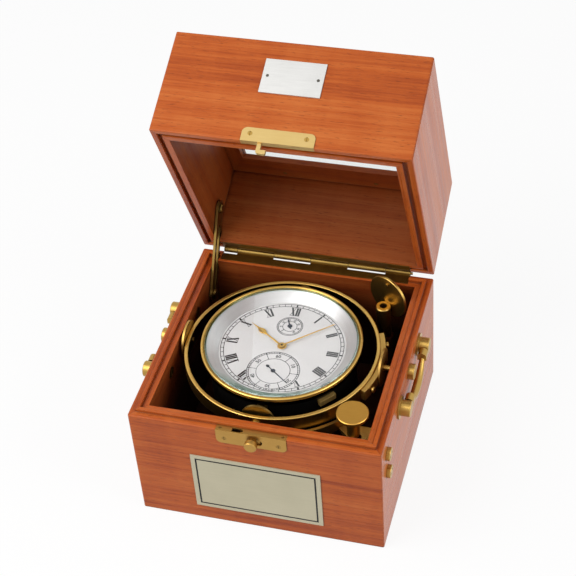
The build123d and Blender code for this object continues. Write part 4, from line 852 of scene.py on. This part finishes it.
def ink():
    """Black that is worn to dark grey in tiny patches."""
    material, tree, shader = new_material("dial_ink", Roughness=0.6, IOR=1.35)
    wear = noise(tree, place(tree), 1500, 3)
    tree.links.new(blend(tree, wear, tone(12, 12, 13), tone(34, 34, 36)), shader.inputs["Base Color"])
    return material


def coated(piece, towards=(0, 0, 1)):
    """Flat printing faces a direction, and gets the thickness of a coat of ink on that side."""
    mesh = piece.data
    normals = np.zeros(len(mesh.polygons) * 3)
    mesh.polygons.foreach_get("normal", normals)
    if (normals.reshape(-1, 3) @ np.array(towards)).mean() < 0:
        mesh.flip_normals()
    coat = piece.modifiers.new("coat", "SOLIDIFY")
    coat.thickness, coat.offset = COAT, 1.0


def printed(name, quads, height):
    """Printing on the dial: flat quads (n, 4, 2) in metres laid at a height."""
    points = np.concatenate([quads, np.full((*quads.shape[:2], 1), height)], axis=2)
    faces = np.arange(len(quads) * 4).reshape(-1, 4)
    coated(new_piece(name, points, faces, dial_ink, "bowl"))


dial_ink = ink()
print("ink", round(COAT / MM, 3), "mm thick")

# %% [markdown]
# Nearly all of the printing is lines of a given width. Curves with a thickness could draw them; as quads
# worked out at once they are only two functions: a ring round a centre, and bars that point to it.

# %% Rings and bars
minutes = np.arange(60) * 6


def clockwise(turn, radius):
    """Points at an angle in degrees, clockwise from twelve, and a radius."""
    a = np.radians(turn)
    return np.stack([radius * np.sin(a), radius * np.cos(a)], -1)


def ring(radius, width, centre, steps=180):
    """A thin band round a centre: quads between two circles."""
    turn = np.linspace(0, 360, steps + 1)
    inner, outer = clockwise(turn, radius - width / 2), clockwise(turn, radius + width / 2)
    return np.stack([inner[:-1], inner[1:], outer[1:], outer[:-1]], axis=1) + centre


def bars(turns, inner, outer, width, centre):
    """One bar of a given width for each angle, from an inner to an outer radius."""
    a = np.radians(np.asarray(turns, float))
    out = np.stack([np.sin(a), np.cos(a)], -1)
    side = np.stack([np.cos(a), -np.sin(a)], -1) * width / 2
    near, far = out * inner, out * outer
    return np.stack([near - side, near + side, far + side, far - side], axis=1) + centre


print("minutes stand", minutes[1], "degrees apart")

# %% [markdown]
# The numerals have heavy strokes, hairlines and serifs. A font's outlines could be used, but they would
# have to be cut where the seconds dial lies. Strokes that are rows of short quads let that part be left
# out, as the printer did. Each letter is given as its width and its strokes in millimetres, with the
# heights of a stroke's ends as shares of the numeral's height.

# %% Roman numerals
HEAVY, HAIR = 1.4, 0.36
STROKES = {
    "I": (1.75, [(0.875, 0, 0.875, 1, HEAVY)]),
    "V": (4.1, [(0.8, 1, 2.1, 0, HEAVY), (3.6, 1, 2.1, 0, HAIR)]),
    "X": (4.3, [(0.8, 1, 3.5, 0, HEAVY), (3.6, 1, 0.7, 0, HAIR)]),
}
SERIF_INSET = 0.1


def axes_at(turn):
    """The directions across and outwards at an angle in degrees, clockwise from twelve."""
    a = radians(turn)
    return np.array([cos(a), -sin(a)]), np.array([sin(a), cos(a)])


def flat_line(start, end, low, pieces):
    """A level hairline from start to end, cut into short quads."""
    cuts = np.linspace(start, end, pieces + 1)
    left, right = cuts[:-1], cuts[1:]
    foot, head = np.full(pieces, low), np.full(pieces, low + HAIR)
    corners = [(left, foot), (right, foot), (right, head), (left, head)]
    return np.stack([np.stack(corner, -1) for corner in corners], axis=1)


def numeral(text, turn, inner, outer, pieces=14):
    """A Roman numeral, its head outwards: each stroke is a row of short quads from its foot to its head."""
    height = (outer - inner) / MM
    width = sum(STROKES[letter][0] for letter in text)
    strokes, start = [], -width / 2
    for letter in text:
        strokes += [(start + x0, y0, start + x1, y1, w) for x0, y0, x1, y1, w in STROKES[letter][1]]
        start += STROKES[letter][0]
    x0, y0, x1, y1, w = np.array(strokes).T[:, :, None]
    share = np.linspace(0, 1, pieces + 1)[None, :]
    x, y = x0 + (x1 - x0) * share, (y0 + (y1 - y0) * share) * height
    slant = w / 2 * np.sqrt(1 + ((x1 - x0) / height) ** 2)
    left, right = np.stack([x - slant, y], -1), np.stack([x + slant, y], -1)
    quads = np.stack([left[:, :-1], right[:, :-1], right[:, 1:], left[:, 1:]], axis=2).reshape(-1, 4, 2)
    reach = width / 2 - SERIF_INSET
    serifs = [flat_line(-reach, reach, low, 2 * pieces) for low in (0.0, height - HAIR)]
    flat = np.concatenate([quads, *serifs]) * MM
    across, up = axes_at(turn)
    return flat[..., :1] * across + (flat[..., 1:] + inner) * up + CENTRE


print("letters:", {letter: width for letter, (width, _) in STROKES.items()}, "mm wide")

# %% [markdown]
# The seconds dial cuts into the track and the six. Its place could be cut out of them with a boolean. It
# is surer to drop each quad whose middle lies within the seconds dial, because no face is cut.

# %% Minute track and numerals
TRACK_INNER, TRACK_OUTER = 43.8 * MM, 46.2 * MM
NUMERAL_INNER, NUMERAL_OUTER = 34.2 * MM, 42.9 * MM
SECONDS_RADIUS, SECONDS_TRACK, SECONDS_INNER = 19.7 * MM, 18.2 * MM, 12.6 * MM
NUMERAL_GAP, TRACK_LAP = 0.6 * MM, 0.1 * MM
HOURS = ["XII", "I", "II", "III", "IIII", "V", "VI", "VII", "VIII", "IX", "X", "XI"]
LINE, FIFTH_LINE = 0.50 * MM, 1.30 * MM
INK_HEIGHT = DIAL_TOP + 0.01 * MM
NUMERAL_HEIGHT = INK_HEIGHT + 0.01 * MM


def from_seconds(quads):
    """How far each quad's middle lies from the seconds dial's centre."""
    return np.linalg.norm(quads.mean(axis=1) - SECONDS_CENTRE, axis=1)


track = np.concatenate([
    ring(TRACK_INNER, LINE, CENTRE), ring(TRACK_OUTER, LINE, CENTRE),
    bars(minutes, TRACK_INNER, TRACK_OUTER, LINE, CENTRE),
    bars(minutes[::5], TRACK_INNER, TRACK_OUTER, FIFTH_LINE, CENTRE),
])
hours = np.concatenate([numeral(text, 30 * i, NUMERAL_INNER, NUMERAL_OUTER) for i, text in enumerate(HOURS)])
printed("dial_minute_track", track[from_seconds(track) > SECONDS_RADIUS - TRACK_LAP], INK_HEIGHT)
printed("dial_numerals", hours[from_seconds(hours) > SECONDS_RADIUS + NUMERAL_GAP], NUMERAL_HEIGHT)

# %% [markdown]
# The seconds dial has sixty marks between two rings. The up-and-down dial shows the hours since winding:
# a mark for every two hours, and a number for every eight. Both are made by the same rings and bars as
# the large track.

# %% Seconds dial and up-and-down dial
RESERVE_RADIUS, RESERVE_TRACK, RESERVE_INNER = 9.8 * MM, 8.7 * MM, 5.4 * MM
RESERVE_TICK = 0.8 * MM
FINE = 0.42 * MM
tens = 60 * np.arange(6)
reserve_marks = np.linspace(-140, 140, 29)

seconds_print = np.concatenate([
    ring(SECONDS_RADIUS, 1.1 * FINE, SECONDS_CENTRE), ring(SECONDS_TRACK, FINE, SECONDS_CENTRE),
    ring(SECONDS_INNER, FINE, SECONDS_CENTRE),
    bars(minutes, SECONDS_TRACK, SECONDS_RADIUS, FINE, SECONDS_CENTRE),
    bars(minutes[::5], SECONDS_TRACK, SECONDS_RADIUS, 2.2 * FINE, SECONDS_CENTRE),
    bars(30 + tens, SECONDS_INNER, SECONDS_TRACK, FINE, SECONDS_CENTRE),
])
reserve_print = np.concatenate([
    ring(RESERVE_RADIUS, FINE, RESERVE_CENTRE, steps=120),
    ring(RESERVE_TRACK, FINE, RESERVE_CENTRE, steps=120),
    ring(RESERVE_INNER, FINE, RESERVE_CENTRE, steps=90),
    bars(reserve_marks, RESERVE_TRACK, RESERVE_RADIUS, FINE, RESERVE_CENTRE),
    bars(reserve_marks[::4], RESERVE_INNER, RESERVE_INNER + RESERVE_TICK, 1.4 * FINE, RESERVE_CENTRE),
])
printed("dial_seconds_track", seconds_print, INK_HEIGHT)
printed("dial_reserve_track", reserve_print, INK_HEIGHT)

# %% [markdown]
# The small numbers have curves, so bars won't do, and they use Blender's own font. Each number becomes a
# mesh first, then its points are scaled, centred and turned in place, so nothing is left that depends on
# the font.

# %% Numbers on the small dials
NUMBER_WEIGHT = 0.02


def figure(text):
    """A number as a flat mesh one unit high, centred: its points (n, 2) and its triangles."""
    curve = bpy.data.curves.new("figure", "FONT")
    curve.body, curve.resolution_u = text, 3
    curve.offset = NUMBER_WEIGHT
    holder = bpy.data.objects.new("figure", curve)
    mesh = bpy.data.meshes.new_from_object(holder)
    mesh.calc_loop_triangles()
    points = np.zeros(len(mesh.vertices) * 3)
    mesh.vertices.foreach_get("co", points)
    corners = np.zeros(len(mesh.loop_triangles) * 3, int)
    mesh.loop_triangles.foreach_get("vertices", corners)
    bpy.data.objects.remove(holder)
    bpy.data.curves.remove(curve)
    bpy.data.meshes.remove(mesh)
    flat = points.reshape(-1, 3)[:, :2]
    low, high = flat.min(axis=0), flat.max(axis=0)
    return (flat - (low + high) / 2) / (high[1] - low[1]), corners.reshape(-1, 3)


def numbers(name, values, turns, centre, radius, size):
    """A ring of numbers with their heads outwards, as one piece of printing."""
    shapes = []
    for value, turn in zip(values, turns):
        flat, corners = figure(str(value))
        across, up = axes_at(turn)
        placed = flat[:, :1] * size * across + (flat[:, 1:] * size + radius) * up + centre
        shapes.append((np.column_stack([placed, np.full(len(placed), INK_HEIGHT)]), corners))
    points, faces = joined(*shapes)
    coated(new_piece(name, points, faces, dial_ink, "bowl"))


seconds = [60, 10, 20, 30, 40, 50]
since_winding = range(0, 64, 8)
numbers("dial_seconds_numbers", seconds, tens, SECONDS_CENTRE, radius=15.4 * MM, size=3.1 * MM)
numbers(
    "dial_reserve_numbers", since_winding, reserve_marks[::4], RESERVE_CENTRE, radius=7.1 * MM, size=1.6 * MM,
)

# %% [markdown]
# ## Hands
# The large hands are slightly domed, so they catch the light along their middle. Flat outlines would look
# like cut paper. So a blade is one surface: a line of half-widths from the tail to the tip, and across it
# a low arch with a flat back. Blades and profiles are in millimetres, and each hand takes the place of
# the plain one.

# %% Blades
def smooth_widths(lengths, widths, steps=160):
    """Half-widths along a hand, eased between the given ones so that the outline has no corners."""
    along = np.linspace(lengths[0], lengths[-1], steps)
    k = np.clip(np.searchsorted(lengths, along, side="right") - 1, 0, len(lengths) - 2)
    low, high = np.asarray(lengths, float)[k], np.asarray(lengths, float)[k + 1]
    t = (along - low) / (high - low)
    ease = t * t * (3 - 2 * t)
    widths = np.asarray(widths, float)
    return along, widths[k] + (widths[k + 1] - widths[k]) * ease


def tube_faces(rows, columns):
    """The faces of a grid whose columns close into a tube, with a flat face at each end."""
    last_row = (rows - 1) * columns
    ends = [np.arange(columns).tolist(), (np.arange(columns)[::-1] + last_row).tolist()]
    return grid_faces(rows, columns, round_columns=True).tolist() + ends


def blade(lengths, widths, rise, edge=0.12, full_width=0.6, columns=9):
    """At a distance along and an angle across: half-width times cos, and the edge plus the dome times sin."""
    along, half = smooth_widths(lengths, widths)
    across = np.linspace(0, pi, columns)
    dome = rise * np.minimum(1, half / full_width)
    arch = np.stack([
        half[:, None] * np.cos(across), np.repeat(along[:, None], columns, 1),
        edge + dome[:, None] * np.sin(across),
    ], -1)
    corners = [np.stack([side * half, along, 0 * half], -1)[:, None] for side in (1, -1)]
    loop = np.concatenate([corners[0], arch, corners[1]], axis=1)
    return loop.reshape(-1, 3), tube_faces(*loop.shape[:2])


print("a blade has", len(blade([0, 10], [1, 1], rise=0.3)[1]), "faces")

# %% [markdown]
# The hub and the pipe below it were turned on a lathe. Stacked cylinders could stand for them, but a
# profile spun about the hand's axis keeps the hub's soft groove in one surface. It ends on a small flat
# face at either end.

# %% Turned hubs, and setting a hand
def spun(profile, steps):
    """(radius, height) points spun about the upright axis: radius times cos, radius times sin, height."""
    profile = np.asarray(profile, float)
    a = np.linspace(0, 2 * pi, steps, endpoint=False)[None, :]
    r, z = profile[:, :1], profile[:, 1:]
    return np.stack([r * np.cos(a), r * np.sin(a), z + 0 * a], -1).reshape(-1, 3)


def turned(profile, steps=64):
    """A turned shape with flat ends."""
    return spun(profile, steps), tube_faces(len(profile), steps)


def set_hand(name, node, slot, material, centre, height, turn, *shapes):
    """A hand's shapes, turned clockwise and set at its centre and height. Its body has its node's name."""
    points, faces = joined(*shapes)
    a = radians(-turn)
    spin = np.array([[cos(a), -sin(a), 0], [sin(a), cos(a), 0], [0, 0, 1]])
    placed = points * MM @ spin.T + (*centre, height)
    piece = new_piece(name, placed, faces, material, node, sharp=50)
    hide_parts(node)


print("a pipe has", len(turned([(1, 0), (2, 0), (2, 1), (1, 1)])[1]), "faces")

# %% [markdown]
# The hour hand swells to a spade before its tip, and the minute hand is one long taper above it. One hub
# for both would be simpler, but they turn at different speeds, so each has its own, with a pipe or an
# arbor down to where the plain hand's ends. The flat of the hour hand's hub lies under the minute hand's
# arbor, where it isn't seen.

# %% Hour and minute hands
HOUR_TURN, MINUTE_TURN = 304.5, 48.6
HOUR_HEIGHT, MINUTE_HEIGHT = DIAL_TOP + 1.1 * MM, DIAL_TOP + 2.0 * MM
HUB_FLAT, ARBOR, END_FLAT = 1.0, 0.88, 0.02
hour_foot = (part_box("hour_hand")[0].z - HOUR_HEIGHT) / MM
minute_foot = (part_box("minute_hand")[0].z - MINUTE_HEIGHT) / MM

hour_blade = blade(
    [2, 4, 17, 19.5, 21.3, 22.8, 24.4, 26.4, 29, 35],
    [0.95, 0.75, 0.55, 1.2, 2.15, 2.5, 2.15, 1.1, 0.55, 0.12],
    rise=0.32,
)
hour_hub = turned([
    (HUB_FLAT, 0.0), (3.3, 0.0), (3.5, 0.12), (3.5, 0.3), (3.3, 0.42), (2.7, 0.5), (2.4, 0.44),
    (2.1, 0.36), (HUB_FLAT, 0.36),
])
hour_pipe = turned([(HUB_FLAT, hour_foot), (1.7, hour_foot), (1.7, 0.05), (HUB_FLAT, 0.05)])
minute_blade = blade([0, 2, 30, 43.4, 44.5], [0.75, 0.62, 0.46, 0.32, 0.1], rise=0.26)
minute_hub = turned([
    (END_FLAT, 0.0), (2.0, 0.0), (2.2, 0.12), (2.2, 0.3), (2.0, 0.42), (1.5, 0.48), (1.2, 0.44),
    (0.95, 0.5), (ARBOR, 0.82), (0.7, 0.9), (END_FLAT, 0.9),
])
minute_arbor = turned([(END_FLAT, minute_foot), (ARBOR, minute_foot), (ARBOR, 0.02), (END_FLAT, 0.02)])
set_hand(
    "hour_hand_domed", "hour_hand", "gilt_hands", gilt, CENTRE, HOUR_HEIGHT, HOUR_TURN,
    hour_blade, hour_hub, hour_pipe,
)
set_hand(
    "minute_hand_domed", "minute_hand", "gilt_hands", gilt, CENTRE, MINUTE_HEIGHT, MINUTE_TURN,
    minute_blade, minute_hub, minute_arbor,
)

# %% [markdown]
# The seconds hand is thin, with a round counterweight on its tail, and the reserve hand is a shorter one
# of the kind. Both sit low over the dial on arbors of the same form, so that one is made once and used
# twice.

# %% Seconds and reserve hands
SMALL_HEIGHT = DIAL_TOP + 0.3 * MM
SMALL_ARBOR = 0.49
SECONDS_TURN, RESERVE_TURN = 128.0, -25.0
small_foot = (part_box("seconds_hand")[0].z - SMALL_HEIGHT) / MM
small_arbor = turned([
    (END_FLAT, small_foot), (SMALL_ARBOR, small_foot), (SMALL_ARBOR, 0.1), (END_FLAT, 0.1),
])
seconds_blade = blade([-8.0, -7.2, -5.9, -4.8, 0, 12, 17], [0.35, 1.15, 1.2, 0.34, 0.4, 0.3, 0.12], rise=0.18)
seconds_hub = turned([
    (END_FLAT, 0.0), (1.6, 0.0), (1.75, 0.1), (1.7, 0.34), (1.3, 0.42), (0.6, 0.42), (END_FLAT, 0.5),
])
reserve_blade = blade([-3.2, -2.4, -1.8, 0, 6, 8.5], [0.25, 0.7, 0.4, 0.5, 0.4, 0.12], rise=0.18)
reserve_hub = turned([
    (END_FLAT, 0.0), (1.8, 0.0), (1.9, 0.1), (1.85, 0.3), (1.5, 0.4), (0.6, 0.4), (END_FLAT, 0.46),
])
set_hand(
    "seconds_hand_blued", "seconds_hand", "blued_steel", blued_steel, SECONDS_CENTRE, SMALL_HEIGHT,
    SECONDS_TURN, seconds_blade, seconds_hub, small_arbor,
)
set_hand(
    "reserve_hand_blued", "reserve_hand", "blued_steel", blued_steel, RESERVE_CENTRE, SMALL_HEIGHT,
    RESERVE_TURN, reserve_blade, reserve_hub, small_arbor,
)

# %% [markdown]
# ## Bezel
# The ring that holds the glass shows two bright lines with a dark groove between them: a small lip that
# is burnished over the glass, and a rounded bead outside it. Bent pipes laid on the ring would leave
# gaps. Here both are arcs in one profile, spun about the instrument's axis, so the metal runs on without
# a seam. The profile is in millimetres, with its heights counted from the top, and takes the place of the
# plain ring.

# %% Bezel with its lip and bead
BEZEL_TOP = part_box("bezel")[1].z / MM
BEZEL_RADIUS = (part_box("bezel")[1].x - CENTRE_X) / MM
BEAD = 1.25
LIP, LIP_RADIUS, LIP_DEPTH = 0.2, 57.82, 0.72
GROOVE_RADIUS, GROOVE_DEPTH = 57.95, 1.1
WALL_RADIUS, WALL_TOP, WALL_FOOT = 60.1, 2.6, 6.6
FOOT_RADIUS, FOOT_DEPTH = 57.1, 8.9
LEDGE_RADIUS, LEDGE_DEPTH = 55.1, 8.1
SEAT_RADIUS, SEAT_DEPTH = 56.4, 2.4
BEZEL_STEPS = 256


def arc(centre, radius, start, end, steps=14):
    """Points (radius, height) on an arc between two angles in degrees."""
    a = np.radians(np.linspace(start, end, steps))
    return np.stack([centre[0] + radius * np.cos(a), centre[1] + radius * np.sin(a)], -1)


lip = arc((LIP_RADIUS, -LIP_DEPTH), LIP, 180, 0)
bead = arc((BEZEL_RADIUS - BEAD, -BEAD), BEAD, 178, -55, 30)
outside = [(WALL_RADIUS, -WALL_TOP), (WALL_RADIUS, -WALL_FOOT), (FOOT_RADIUS, -FOOT_DEPTH)]
ledge = [(LEDGE_RADIUS, -FOOT_DEPTH), (LEDGE_RADIUS, -LEDGE_DEPTH), (SEAT_RADIUS, -LEDGE_DEPTH)]
seat = [(SEAT_RADIUS, -SEAT_DEPTH), (LIP_RADIUS - LIP, -SEAT_DEPTH)]
profile = np.concatenate([lip, [(GROOVE_RADIUS, -GROOVE_DEPTH)], bead, outside, ledge, seat])
points = spun(profile + (0, BEZEL_TOP), BEZEL_STEPS) * MM + (CENTRE_X, 0, 0)
faces = grid_faces(len(profile), BEZEL_STEPS, round_rows=True, round_columns=True)
bezel = new_piece("bezel_beaded", points, faces, bezel_brass, "bowl", sharp=40)
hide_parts("bezel")

# %% [markdown]
# ## Line on the label
# The label keeps a thin black line near its edge, and is otherwise bare. A picture on the plate could
# show it, but would blur from near by. Four bars that meet in mitres make it, laid on the label's face as
# a coat of the same ink.

# %% Line on the label
LABEL_CENTRE = (-0.5 * MM, 42.25 * MM)
LABEL_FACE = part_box("label_plate")[0].y
LABEL_HALF, LABEL_LINE = np.array([45.2, 24.6]) * MM, 1.25 * MM
INK_GAP = 0.01 * MM


def border_quads(half, width):
    """A rectangle of four bars between two rectangles, as quads in the plane of the label."""
    corners = np.array([(-1, -1), (1, -1), (1, 1), (-1, 1)])
    outer, inner = corners * half, corners * (half - width)
    return np.stack([outer, np.roll(outer, -1, axis=0), np.roll(inner, -1, axis=0), inner], axis=1)


border = border_quads(LABEL_HALF, LABEL_LINE) + LABEL_CENTRE
points = np.stack([border[..., 0], np.full(border.shape[:2], LABEL_FACE - INK_GAP), border[..., 1]], -1)
line = new_piece("label_border", points, np.arange(16).reshape(-1, 4), dial_ink, "base_box")
coated(line, towards=(0, -1, 0))

# %% [markdown]
# ## Size
# The dressed object's box is compared with the model's, and their largest difference is printed.
# The dressed object has to keep to the model's box.

# %% Compare the boxes and finish
dressed_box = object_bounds()
differences = [abs(a - b) for c, d in zip(cad_box, dressed_box) for a, b in zip(c, d)]
print("largest difference:", max(differences) / MM, "mm")
